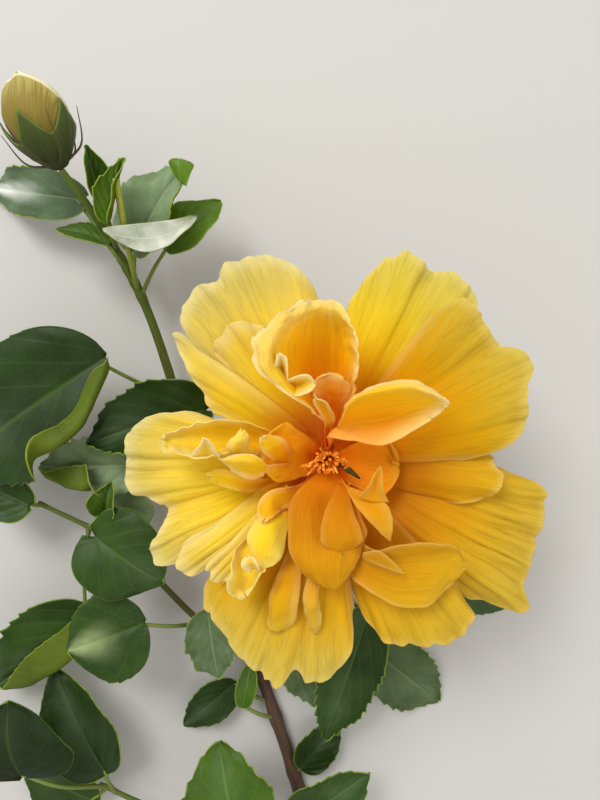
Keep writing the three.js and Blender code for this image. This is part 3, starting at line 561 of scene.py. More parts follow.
# finish, claw or not, height of the crinkles; rows of places in mm
BLADES = {
    "hood": ("orange", True, 1.3, (
        ((7, -6, 76), (8, -7.5, 72), (10, -9.5, 62), (12, -10, 58), (13.5, -9.5, 60), (15, -8, 66)),
        ((-0.5, -0.5, 86), (1, 0, 84), (4, 0.5, 70), (8.5, 1.5, 63), (13, 1.5, 66), (17.5, 1, 76)),
        ((-12, 8, 90), (-8, 9.5, 91), (-3.5, 12, 76), (5, 13.5, 66), (13.5, 12, 70), (18.5, 8.5, 82)),
        ((-15, 15, 88), (-8, 16.5, 92), (-3, 20, 79), (5.5, 22.5, 73), (14, 20, 77), (18, 14.5, 87)),
        ((-11, 22, 87), (-6, 22, 91), (-1, 25, 87), (6, 26.5, 84), (12, 25.5, 85), (15.5, 22, 88)),
        ((-8.5, 25.5, 84), (-4, 27, 86), (0.5, 29, 85), (6, 30, 82), (10.5, 29, 83), (15, 24.5, 86)),
    )),
    "hood_inner": ("orange", True, 0.4, (
        ((6, -10, 60), (11, -11, 58), (15, -9.5, 60)),
        ((4, 0, 72), (10.5, -0.5, 68), (16.5, 0.5, 72)),
        ((3, 8.5, 78), (9.5, 8.5, 76), (16.5, 7, 78)),
    )),
    "finger": ("cream", False, 0.3, (
        ((-8.5, 7.5, 87), (-6.5, 3.5, 80), (-3, 2.5, 84)),
        ((-7.5, 9.5, 90), (-5.5, 8.5, 84), (-3.5, 7, 88)),
        ((-7, 12, 91), (-5.5, 12, 89), (-3.5, 11.5, 90)),
        ((-6.5, 13.5, 90), (-5.5, 13.5, 90), (-4.5, 13, 90)),
    )),
    "lobe": ("cream", False, 0.3, (
        ((-3.5, 6, 87), (-4, 3.5, 82), (-4.5, 2, 86)),
        ((-0.5, 7, 90), (-0.5, 4.5, 84), (-1, 1, 88)),
        ((2.5, 7.5, 90), (2.5, 5, 87), (2, 1.5, 88)),
        ((4, 6, 89), (4.5, 4.5, 89), (4, 3, 88)),
    )),
    "small_lobe": ("cream", True, 0.3, (
        ((7, -6, 76), (9, -6, 74), (11, -5, 76)),
        ((4, -1, 84), (6, -1, 80), (7.5, -1, 84)),
        ((3, 1.5, 87), (4, 2, 86), (5, 1, 87)),
    )),
    "heart_fold": ("sunny", True, 0.4, (
        ((4, -25, 60), (2.5, -21, 60), (2, -17, 61), (4, -13, 61)),
        ((-3, -27, 65), (-5, -20.5, 66), (-5, -14, 67), (-0.5, -9, 67)),
        ((-10, -28, 69), (-12.5, -20.5, 71), (-11.5, -12.5, 72), (-5, -4, 72)),
    )),
    "throat_fold": ("golden", True, 0.5, (
        ((13.5, -17, 59), (15, -22, 58), (14, -27, 59)),
        ((21, -12, 62), (24, -22, 61), (21, -31, 62)),
        ((27, -7, 65), (33, -22, 63), (28, -36, 64)),
    )),
    "right_curl": ("orange", True, 0.7, (
        ((13.5, -4.5, 76), (12.5, -6, 80), (12, -8, 76), (10.5, -9.5, 74), (9.5, -12, 74)),
        ((15, 0.5, 84), (15, -0.5, 87), (16, -3.5, 78), (16.5, -8, 74), (17, -13.5, 76)),
        ((22, 4, 87), (22.5, 2.5, 91), (24, -1, 80), (25.5, -6.5, 74), (25.5, -14, 78)),
        ((31.5, 5.5, 88), (31.5, 3.5, 92), (33.5, 0.5, 83), (35, -3.5, 78), (35, -10, 80)),
        ((39.5, 2.5, 87), (39, 1.5, 90), (40, 0, 86), (41, -2, 83), (41.5, -5, 82)),
        ((43.5, 0, 85), (43.5, -0.5, 87), (43.5, -1, 86), (43.5, -2, 85), (43.5, -3, 84)),
    )),
    "front_tongue": ("amber", True, 0.4, (
        ((6, -23.5, 66), (8.5, -24, 66), (11, -25, 66), (13.5, -26, 66)),
        ((-2, -29.5, 74), (3, -31.5, 72), (10, -33.5, 70), (18.5, -33.5, 71)),
        ((-4.5, -38.5, 76), (2.5, -40.5, 74), (11, -41.5, 73), (21.5, -40.5, 73)),
        ((-3, -49, 74), (3, -50.5, 75), (11, -51.5, 75), (21, -47, 72)),
        ((2.5, -56.5, 70), (7, -58, 72), (11.5, -59, 72), (16.5, -54, 71)),
        ((8, -60.5, 68), (10.5, -60.5, 69), (12, -61, 69), (13.5, -59, 69)),
    )),
    "front_tongue_inner": ("amber", True, 0.3, (
        ((11, -28, 70), (13, -28, 70), (15, -29, 70)),
        ((7, -35.5, 76), (12, -36, 76), (17.5, -36, 75)),
        ((6, -42.5, 76), (12.5, -43.5, 77), (20, -42.5, 75)),
        ((8.5, -48, 74), (13, -49, 74), (17.5, -48, 73)),
    )),
    "dart": ("golden", True, 0.3, (
        ((14, -26.5, 74), (14.5, -26.5, 74), (15, -27, 74)),
        ((15.5, -30, 78), (18.5, -30, 77), (22, -29, 77)),
        ((18.5, -34.5, 79), (22.5, -33.5, 79), (27, -32, 79)),
        ((23.5, -40, 78), (25.5, -38.5, 79), (28.5, -37.5, 78)),
        ((27, -43.5, 76), (28, -43.5, 76), (28.5, -43.5, 76)),
    )),
    "dart_side": ("golden", False, 0.3, (
        ((17.5, -29.5, 79), (22, -31, 79), (27, -31, 79)),
        ((20.5, -25.5, 83), (22.5, -26.5, 80), (25, -26.5, 82)),
        ((23.5, -20, 82), (24.5, -20, 81), (25, -21, 81)),
    )),
    "lower_right_spoon": ("amber", True, 0.4, (
        ((17, -41.5, 66), (16.5, -47.5, 66), (15.5, -52, 66), (15.5, -56, 66)),
        ((22.5, -46, 76), (23, -51.5, 71), (22.5, -56.5, 69), (21, -61, 69)),
        ((31, -44, 78), (32.5, -51.5, 71), (32, -59.5, 69), (31, -67, 68)),
        ((40.5, -43, 78), (41.5, -50.5, 72), (41.5, -59, 70), (40, -67, 68)),
        ((48.5, -45, 76), (49, -49.5, 73), (48.5, -55.5, 71), (47.5, -61.5, 68)),
        ((52, -49, 74), (52.5, -51, 73), (52.5, -53, 72), (52, -55, 71)),
    )),
    "spoon_flap": ("amber", False, 0.3, (
        ((19.5, -47.5, 75), (19.5, -49, 74), (20, -50, 73)),
        ((24, -46, 78), (25, -49, 76), (25, -52, 74)),
        ((28, -49, 76), (29, -51.5, 75), (29.5, -53.5, 74)),
        ((32.5, -54.5, 73), (33, -54.5, 73), (33, -55, 73)),
    )),
    "left_frill": ("lemon", True, 1.3, (
        ((-5, -13, 66), (-5, -15.5, 64), (-5, -17, 64), (-5, -18.5, 66)),
        ((-16, -6.5, 72), (-16.5, -10.5, 66), (-17, -14.5, 66), (-16.5, -17, 74)),
        ((-26.5, -5.5, 76), (-27, -9.5, 69), (-26, -14.5, 70), (-25, -17.5, 80)),
        ((-34, -7.5, 76), (-34.5, -11, 71), (-33.5, -15, 73), (-31.5, -18, 82)),
        ((-41, -9.5, 75), (-41, -12, 72), (-40, -14.5, 74), (-38, -16, 80)),
        ((-44.5, -10.5, 74), (-44.5, -13, 73), (-43.5, -16, 75), (-42, -18.5, 78)),
    )),
    "left_ruffle": ("cream", False, 0.8, (
        ((-33.5, -17, 80), (-29, -17.5, 79), (-24, -17, 79)),
        ((-30.5, -13.5, 84), (-29, -14, 81), (-25.5, -14, 83)),
        ((-29, -11, 85), (-28.5, -11, 85), (-27, -11.5, 85)),
    )),
    "left_bulge": ("lemon", True, 0.3, (
        ((-23, -16.5, 74), (-19, -16.5, 77), (-15.5, -16.5, 74)),
        ((-22.5, -13, 78), (-18.5, -12.5, 81), (-15.5, -12, 78)),
        ((-19.5, -9, 79), (-17.5, -8.5, 80), (-16, -9, 78)),
    )),
    "left_lip": ("cream", True, 0.6, (
        ((-10, -20, 76), (-10, -21, 75), (-10.5, -22, 73)),
        ((-11.5, -18, 80), (-11, -20, 79), (-12, -24, 74)),
        ((-15, -16, 82), (-14.5, -19, 82), (-15, -25, 75)),
        ((-20.5, -16.5, 82), (-20, -18.5, 82), (-20.5, -22, 77)),
        ((-25.5, -18.5, 79), (-25, -18.5, 79), (-25, -19, 78)),
    )),
    "left_shell": ("cream", True, 0.5, (
        ((-7.5, -20, 68), (-5, -19.5, 66), (-2.5, -15.5, 66)),
        ((-10.5, -17.5, 76), (-8, -15, 76), (-4, -12.5, 74)),
        ((-13.5, -14, 80), (-11.5, -11, 81), (-7.5, -9.5, 79)),
    )),
    "left_fold": ("sunny", True, 0.5, (
        ((-12.5, -25.5, 66), (-15, -28, 64), (-16.5, -30.5, 64)),
        ((-21.5, -22, 72), (-22.5, -25.5, 70), (-22, -29, 68)),
        ((-29.5, -20, 74), (-29.5, -24, 72), (-28, -28, 70)),
    )),
    "left_heart": ("cream", True, 0.8, (
        ((0, -27.5, 66), (0.5, -29.5, 65), (1, -31.5, 64)),
        ((-9.5, -28.5, 72), (-8, -32, 71), (-5, -35.5, 69)),
        ((-15.5, -34, 73), (-12, -38.5, 73), (-6.5, -36, 71)),
    )),
    "lower_left_curl": ("lemon", True, 0.5, (
        ((0, -31.5, 64), (2, -33.5, 62), (3.5, -36, 62)),
        ((-12, -36.5, 70), (-8, -39, 71), (-3, -41, 69)),
        ((-17, -43, 71), (-12, -45.5, 73), (-5, -49, 69)),
        ((-15.5, -51, 71), (-12, -53, 71), (-8, -55, 69)),
    )),
    "lower_left_frill": ("lemon", True, 1.2, (
        ((-20.5, -47, 68), (-18.5, -48.5, 66), (-15.5, -49, 66), (-12.5, -50.5, 68)),
        ((-22, -52, 76), (-19, -55, 70), (-15.5, -55, 70), (-10, -52, 77)),
        ((-23, -59, 75), (-20, -60, 70), (-16, -59, 70), (-11.5, -54, 77)),
        ((-21.5, -64, 72), (-19, -63, 73), (-15.5, -60.5, 74), (-13, -58, 75)),
    )),
    "frill_knot": ("cream", False, 1.2, (
        ((-15.5, -54, 74), (-14.5, -52.5, 75), (-12, -53, 75)),
        ((-18, -50.5, 80), (-15, -49.5, 79), (-12.5, -50, 79)),
        ((-17.5, -48, 79), (-16, -47.5, 79), (-14.5, -48, 78)),
    )),
    "bottom_fold_right": ("bronze", True, 0.4, (
        ((4, -53, 62), (6, -53, 62), (8, -53, 62)),
        ((1, -63, 68), (4, -63, 70), (6, -63, 68)),
        ((2, -71.5, 66), (4, -71.5, 68), (7, -70, 66)),
        ((3, -76.5, 64), (4.5, -76.5, 65), (6.5, -75.5, 64)),
    )),
    "bottom_fold_left": ("bronze", True, 0.4, (
        ((-5, -51.5, 62), (-1.5, -52, 62), (1.5, -52, 62)),
        ((-9.5, -63.5, 66), (-6.5, -63, 69), (0, -63.5, 67)),
        ((-11, -73, 64), (-8, -73, 67), (-1.5, -73, 64)),
        ((-10.5, -76, 62), (-8.5, -76, 64), (-5.5, -76, 62)),
    )),
}
print("blades in the heart:", len(BLADES))

# %% Blades in the heart
CLAW_FOOT = 50.0
CLAW_STEP = 10.0
BLADE_ROUNDING = 0.16


def with_claw(rows):
    """Rows that lead from the column to the blade's first row."""
    first = [Vector(p) for p in rows[0]]
    middle = sum(first, Vector()) / len(first)
    foot = AXIS + (Vector((middle.x, middle.y, 0)) - AXIS).normalized() * 2.5 + Vector((0, 0, CLAW_FOOT))
    steps = max(1, round((middle - foot).length / CLAW_STEP))
    claw = []
    for k in range(steps):
        t = k / steps
        claw.append([foot.lerp(middle, t) + (p - middle) * (0.35 + 0.65 * t * t) for p in first])
    return claw + [[Vector(p) for p in row] for row in rows]


def loft_point(rows, sizes, height, seed, u, v):
    edge = max(abs(u) ** 3, v ** 5)
    end = max(0.0, v - 1 + BLADE_ROUNDING) / BLADE_ROUNDING
    half, length = between(sizes[0], 2 * v - 1) / 2, sizes[1]
    bite = 1 + wrinkle(v * length / 6, 3 if u > 0 else 5, seed)
    notch = max(0.0, wrinkle(u * half / 3, 9, seed))
    u *= sqrt(1 - 0.96 * end * end) * (1 - 0.09 * v * bite)
    v -= 0.16 * v ** 7 * notch
    across = [[between([p[k] for p in row], u) for k in range(3)] for row in rows]
    spot = Vector([between([p[k] for p in across], 2 * v - 1) for k in range(3)])
    rim = min((1 - abs(u)) * half, (1 - v) * length)
    crinkle = height * edge * (wrinkle(u * half / 3.5, v * length / 3.5, seed) + 0.3)
    crinkle += 0.9 * v * wrinkle(u * half / 8, v * length / 9, seed + 11)
    crinkle += 0.45 * v * wrinkle(u * half / 3, v * length / 4, seed + 17)
    return spot, rim, crinkle


def blade(name, rows, height, seed, *dress):
    """A sheet through rows of places; dress is its materials, a slot that is not used, and the node it replaces."""
    widths = [sum((b - a).length for a, b in zip(row, row[1:])) for row in rows]
    middles = [row[len(row) // 2] for row in rows]
    length = sum((b - a).length for a, b in zip(middles, middles[1:]))
    across = max(16, min(64, round(max(widths) * 1.8)))
    along = max(24, min(80, round(length * 1.6)))
    sheet(name, lambda u, v: loft_point(rows, (widths, length), height, seed, u, v),
          across, along, PETAL_THICKNESS, *dress, 1.3)


for seed, (name, (finish_name, claw, height, rows)) in enumerate(BLADES.items()):
    rows = with_claw(rows) if claw else [[Vector(p) for p in row] for row in rows]
    blade("petal_" + name, rows, height, seed + 40, [SKINS[finish_name]], "petal", "bloom")
print("blades made:", len(BLADES))

# %% [markdown]
# ## Leaf blades
# A leaf is a blade from a foot to a tip, folded along its middle, with sides that curl. A row of the
# table gives its foot and tip in millimetres, its width, and how it folds, curls, arches and waves.

# %% The leaf blade's shape
ROLL_RADIUS = 1.8
# how wide a rolled side is beside the other, and where along the blade the roll begins and ends
NO_ROLL = (0, 0, 0)
ROLLS = {
    "leaf_big_left": (1.08, -0.3, 0.6),
    "leaf_glaucous": (1.75, 0.25, 1.4),
    "leaf_margin": (1.3, -0.3, 1.3),
}


def section(distance, half, fold, curl, start, rolled):
    """A side's place at a share of its half width: flat up to start, then curling or rolled over."""
    flat = min(distance, start) * half
    x, z = flat * cos(fold), flat * sin(fold)
    if distance > start:
        whole = (1 - start) * half
        if rolled:
            whole = min(whole, max(curl, 0.2) * ROLL_RADIUS)
        run = (distance - start) * half
        bent = min(run, whole)
        bend = curl * bent / whole
        bend = bend if abs(bend) > 1e-4 else 1e-4
        x += bent / bend * (sin(fold + bend) - sin(fold)) + (run - bent) * cos(fold + bend)
        z += bent / bend * (cos(fold) - cos(fold + bend)) + (run - bent) * sin(fold + bend)
    return x, z


def outline(v, shape):
    """Half width from 0 to 1 along the blade: narrowing of the foot, squareness and bluntness of the end."""
    claw, square, blunt = shape
    widest = (claw / (claw + square * blunt)) ** (1 / square)
    at = lambda t: t ** claw * max(0.0, 1 - t ** square) ** blunt
    return at(max(v, 0.0)) / at(widest)


def blade_point(row, lobe, u, v, tooth=0.0, roll=NO_ROLL):
    foot, tip, width, shape, facing, fold, right, left, start, arch, wave, waves, twist = row
    chord = Vector(tip) - Vector(foot)
    length, along = chord.length, chord.normalized()
    side = Vector((0, 0, 1)).cross(along).normalized()
    side = Matrix.Rotation(radians(facing + twist * (v - 0.5)), 3, along) @ side
    out = along.cross(side)
    half = 0.5 + (width / 2 - 0.5) * outline(v, shape)
    soft = min(1.0, half / 2)
    a = abs(u)
    curl = radians(left if u > 0 else right)
    wide, first, last = roll
    rolled = u > 0 and wide > 0
    reach = half
    if rolled:
        share = soft_step(first, first + 0.25, v) * (1 - soft_step(last - 0.25, last, v))
        curl *= share
        reach *= 1 + (wide - 1) * share
        start *= 0.6 + 0.4 * soft_step(0, 0.3, v)
    x, z = section(a, reach + tooth * a ** 6, radians(fold) * soft, curl * soft, start, rolled)
    corner = 1 - 0.4 * a ** 8 * max(0.0, 1 - v) ** 12
    x += 0.4 * lobe * length * a * a * max(0.0, 1 - v) ** 6 * corner
    ripple = wave * a * a * sin(2 * pi * waves * v + (1.3 if u > 0 else 0))
    spot = Vector(foot) + along * length * (v - lobe * corner * a * a * (1 - v) ** 3)
    spot += side * (x if u > 0 else -x) + out * (z + arch * 4 * v * (1 - v) + ripple)
    return spot, min((1 - a) * half, (1 - v) * length)


LEAFY = (0.45, 1.5, 0.9)
print("a leaf is widest at", round((0.45 / (0.45 + 1.5 * 0.9)) ** (1 / 1.5), 2), "of its length")

# %% [markdown]
# ## Column and anthers
# In the heart the petals stand on a short tube and a column. Where a single hibiscus has a long column,
# this one has only a tuft: orange filaments with kidney-shaped anthers of red-brown pollen,
# about a millimetre each, and the dried end of the style. Seeded noise nudges each of them a little.

# %% Heart finishes
heart_skin = mottled("orange_column", "#ffa224", "#ffc24c", 400.0, 0.5, 0.0001)
pollen = mottled("red_brown_pollen", "#c0540e", "#ea8a20", 900.0, 0.9, 0.0003)
dry_style = mottled("dried_style", "#3c2f0e", "#5c4a12", 900.0, 0.8, 0.0002)
print("heart finishes:", heart_skin.name, pollen.name, dry_style.name)

# %% Column
bm = grid(32, 40)
for vert in bm.verts:
    turn, t = pi * vert.co.x, (vert.co.y + 1) / 2
    radius = between((0.3, 4.2, 4.6, 4.6, 4.2, 3.4, 3.1, 2.8, 0.2), 2 * t - 1) * (1 + 0.06 * sin(5 * turn))
    vert.co = place(AXIS + Vector((radius * cos(turn), radius * sin(turn), 29.2 + 38.8 * t)))
bmesh.ops.remove_doubles(bm, verts=bm.verts, dist=1e-7)
bmesh.ops.holes_fill(bm, edges=bm.edges)
bmesh.ops.recalc_face_normals(bm, faces=bm.faces)
finish(bm, "bloom_column", [heart_skin], "bloom")

# where the anthers stand, in mm; the last five have fallen aside
ANTHERS = (
    (5.2, -16.9), (6.3, -18), (7.9, -17.5), (9.8, -17.1), (10.9, -17.7), (12.3, -18.8), (13.6, -19),
    (11.4, -19.9), (14, -20.3), (4.4, -19.7), (5, -20.6), (6.8, -19.5), (1.3, -21.2), (4.4, -22.1),
    (6.3, -22.6), (2.6, -23.4), (8.3, -22.8), (10.7, -22.5), (14.5, -21.5), (9.5, -19),
    (10.7, -26.9), (16.4, -26.9), (-7.5, -24.5), (-6.6, -24.1), (-4.4, -28),
)
UPRIGHT = 20
TUFT_MIDDLE, TUFT_HEIGHT = Vector((8.5, -20, 0)), 73.5


def rod(bm, foot, head, radii, sides=6):
    """Adds a tapered rod from foot to head, both in mm."""
    reach = head - foot
    turned = reach.to_track_quat("Z", "Y").to_matrix().to_4x4()
    bmesh.ops.create_cone(bm, cap_ends=True, segments=sides, radius1=radii[0] * MM, radius2=radii[1] * MM,
                          depth=reach.length * MM, matrix=Matrix.Translation(place(foot + reach / 2)) @ turned)


filaments, heads, styles = bmesh.new(), bmesh.new(), bmesh.new()
for k, (x, y) in enumerate(ANTHERS + ANTHERS[:UPRIGHT:2]):
    fallen = UPRIGHT <= k < len(ANTHERS)
    nudge = noise.noise_vector(Vector((k * 1.7, 0.3, 0.9)))
    head = Vector((x, y, TUFT_HEIGHT - (6 if fallen else 0))) + nudge * (1.2 if k < len(ANTHERS) else 2.6)
    foot = TUFT_MIDDLE.lerp(Vector((x, y, 0)), 0.55) + Vector((0, 0, TUFT_HEIGHT - 11))
    if not fallen:
        rod(filaments, foot, head, (0.45, 0.2))
    kidney = Matrix.Diagonal((1.35, 0.85, 0.75, 1))
    spin = Matrix.Rotation(5.1 * k, 4, "Z") @ Matrix.Rotation(0.9 * nudge.x, 4, "X")
    bmesh.ops.create_icosphere(heads, subdivisions=2, radius=(0.52 + 0.14 * nudge.y) * MM,
                               matrix=Matrix.Translation(place(head)) @ spin @ kidney)
for k in range(26):
    turn, out = 2.4 * k, sqrt((k + 0.5) / 26)
    foot = TUFT_MIDDLE + Vector((3.5 * out * cos(turn), 2 * out * sin(turn), TUFT_HEIGHT - 10))
    tip = TUFT_MIDDLE + Vector((6 * out * cos(turn), 3.2 * out * sin(turn), TUFT_HEIGHT - 1.5))
    rod(filaments, foot, tip + noise.noise_vector(Vector((k, 2.2, 0.4))) * 2.5, (0.7, 0.35))
rod(styles, Vector((12.5, -20.5, 70.5)), Vector((15.6, -22.2, 74)), (0.7, 1.0), 12)
rod(styles, Vector((15.6, -22.2, 74)), Vector((18.8, -24.7, 72.5)), (1.0, 0.35), 12)
for name, part, skin in (("bloom_filaments", filaments, heart_skin), ("bloom_anthers", heads, pollen),
                         ("bloom_style", styles, dry_style)):
    for face in part.faces:
        face.smooth = True
    print(name, len(part.faces), "faces")
    finish(part, name, [skin], "bloom")

# %% [markdown]
# ## Leaves
# Hibiscus leaves are dark, waxy and toothed, with a midrib and side veins that are paler than
# the blade, and a paler underside. The teeth, the midrib and the quilting between the veins are
# modelled. The thin veins themselves are drawn by the material, along the leaf's own UV.

# %% Leaf skins


def leaf_skin(name, dark, light, vein, edge, roughness, sheen="#7e9070", strength=0.3):
    """Waxy leaf: mottled blade, veins by UV, a pale edge line, a painted sheen (painted highlight) along the midrib's
    outer half.
    """
    material, tree = new_material(name)
    uv = add(tree, "ShaderNodeUVMap", uv_map="UVMap")
    split = add(tree, "ShaderNodeSeparateXYZ", {0: uv.outputs[0]})
    centred = add(tree, "ShaderNodeMath", {0: split.outputs[0], 1: 2.0, 2: -1.0}, operation="MULTIPLY_ADD")
    aside = add(tree, "ShaderNodeMath", {0: centred.outputs[0]}, operation="ABSOLUTE")
    lean = add(tree, "ShaderNodeMath", {0: aside.outputs[0], 1: -VEIN_LEAN, 2: split.outputs[1]},
               operation="MULTIPLY_ADD")
    count = add(tree, "ShaderNodeMath", {0: lean.outputs[0], 1: VEIN_PAIRS}, operation="MULTIPLY")
    near = add(tree, "ShaderNodeMath", {0: count.outputs[0], 1: 0.5}, operation="PINGPONG")
    ribs = add(tree, "ShaderNodeMapRange", {0: near.outputs[0], 1: 0.01, 2: 0.05, 3: 0.28, 4: 0.0})
    middle = add(tree, "ShaderNodeMapRange", {0: aside.outputs[0], 1: 0.01, 2: 0.05, 3: 0.7, 4: 0.0})
    both = add(tree, "ShaderNodeMath", {0: ribs.outputs[0], 1: middle.outputs[0]}, operation="MAXIMUM")
    coordinates = add(tree, "ShaderNodeTexCoord")
    net = add(tree, "ShaderNodeTexVoronoi", {"Vector": coordinates.outputs["Object"], "Scale": 420.0},
              feature="DISTANCE_TO_EDGE")
    mesh = add(tree, "ShaderNodeMapRange", {0: net.outputs[0], 1: 0.0, 2: 0.12, 3: 0.12, 4: 0.0})
    lines = add(tree, "ShaderNodeMath", {0: both.outputs[0], 1: mesh.outputs[0]}, operation="MAXIMUM")
    cloud = add(tree, "ShaderNodeTexNoise", {"Vector": coordinates.outputs["Object"], "Scale": 70.0, "Detail": 4.0})
    blade = add(tree, "ShaderNodeValToRGB", {0: cloud.outputs[0]}, [(0.35, dark), (0.65, light)])
    # painted sheen: a pale band along the midrib's outer half stands in for the sky's reflection on the wax
    painted_sheen_band = add(tree, "ShaderNodeMapRange", {0: aside.outputs[0], 1: 0.0, 2: 0.6, 3: strength, 4: 0.0},
               interpolation_type="SMOOTHSTEP")
    outer = add(tree, "ShaderNodeMapRange", {0: split.outputs[1], 1: 0.2, 2: 0.7, 3: 0.0, 4: 1.0},
                interpolation_type="SMOOTHSTEP")
    painted_sheen_patch = add(tree, "ShaderNodeMath", {0: painted_sheen_band.outputs[0], 1: outer.outputs[0]}, operation="MULTIPLY")
    painted_sheen_amount = add(tree, "ShaderNodeMath", {0: painted_sheen_patch.outputs[0], 1: cloud.outputs[0]}, operation="MULTIPLY")
    veined = add(tree, "ShaderNodeMix", {0: lines.outputs[0], 6: blade.outputs[0], 7: linear(vein)},
                 data_type="RGBA")
    with_painted_sheen = add(tree, "ShaderNodeMix", {0: painted_sheen_amount.outputs[0], 6: veined.outputs[2], 7: linear(sheen)},
                data_type="RGBA")
    distance = add(tree, "ShaderNodeAttribute", attribute_name="rim_mm")
    # pale edge line: partly the leaf's own paler margin and partly painted light shining through the thin edge
    margin = add(tree, "ShaderNodeMapRange", {0: distance.outputs["Fac"], 1: 0.1, 2: 0.5, 3: 0.7, 4: 0.0})
    colour = add(tree, "ShaderNodeMix", {0: margin.outputs[0], 6: with_painted_sheen.outputs[2], 7: linear(edge)},
                 data_type="RGBA")
    height = add(tree, "ShaderNodeMath", {0: both.outputs[0], 1: -1.0}, operation="MULTIPLY")
    bump = add(tree, "ShaderNodeBump", {"Height": height.outputs[0], "Strength": 0.25, "Distance": 0.0003})
    skin = add(tree, "ShaderNodeBsdfPrincipled", {
        "Base Color": colour.outputs[2], "Roughness": roughness, "Specular IOR Level": 0.22,
        "Normal": bump.outputs[0]})
    through = add(tree, "ShaderNodeBsdfTranslucent", {"Color": colour.outputs[2]})
    mix = add(tree, "ShaderNodeMixShader", {0: 0.12, 1: skin.outputs[0], 2: through.outputs[0]})
    add(tree, "ShaderNodeOutputMaterial", {"Surface": mix.outputs[0]})
    return material


VEIN_PAIRS = 5
VEIN_LEAN = 0.5
# each skin's last colour and strength are its painted sheen; the strongest painted highlights lie on the bud's left
# leaf and the left middle leaf
LEAF_SKINS = {
    # deep: the low round leaf's own dark green, darkened further as painted shade where it lies low and shaded
    "deep": leaf_skin("deep_green_leaf_painted_shade", "#101e02", "#172a03", "#34480e", "#52701c", 0.65, strength=0.1),
    "dark": leaf_skin("dark_waxy_leaf", "#1a2e08", "#243c0e", "#3e5a1c", "#5c7a20", 0.42, strength=0.4),
    "middle": leaf_skin("green_leaf", "#243c0c", "#324e14", "#4a6824", "#6c8a26", 0.42),
    "banded": leaf_skin("green_leaf_painted_midrib_sheen", "#22380c", "#2e4a12", "#4a6824", "#6c8a26", 0.42, "#b4c488", 1.5),
    "fresh": leaf_skin("fresh_leaf", "#38540c", "#466614", "#62842a", "#82a030", 0.45),
    "bright": leaf_skin("bright_young_leaf", "#48660c", "#5a7c16", "#7a9a34", "#94b43c", 0.5),
    "grey": leaf_skin("greyish_leaf", "#3c4e28", "#50643a", "#68784c", "#7c9048", 0.42),
    "dusty": leaf_skin("dusty_leaf", "#4a5e36", "#627850", "#7c9066", "#86a050", 0.45, strength=0.5),
    "glaucous": leaf_skin("glaucous_leaf", "#687e50", "#88a074", "#9aa884", "#8aa05a", 0.45),
    "sheen": leaf_skin("waxy_leaf_painted_sheen", "#445a3c", "#5a7050", "#7c9068", "#74902e", 0.35, "#e8ece2", 1.8),
    # painted sheen: this skin's whitish tone is a painted reflection of the sky on the curly leaf's lower lobe
    "whitish_sheen": leaf_skin("whitish_leaf_painted_sheen", "#8e987c", "#e0e2d2", "#e2e4d6", "#b4bc92", 0.5),
    "under": leaf_skin("pale_leaf_underside", "#4c5c0a", "#5c6c14", "#6c7c22", "#98ac3c", 0.6),
}
print("leaf skins:", ", ".join(LEAF_SKINS))

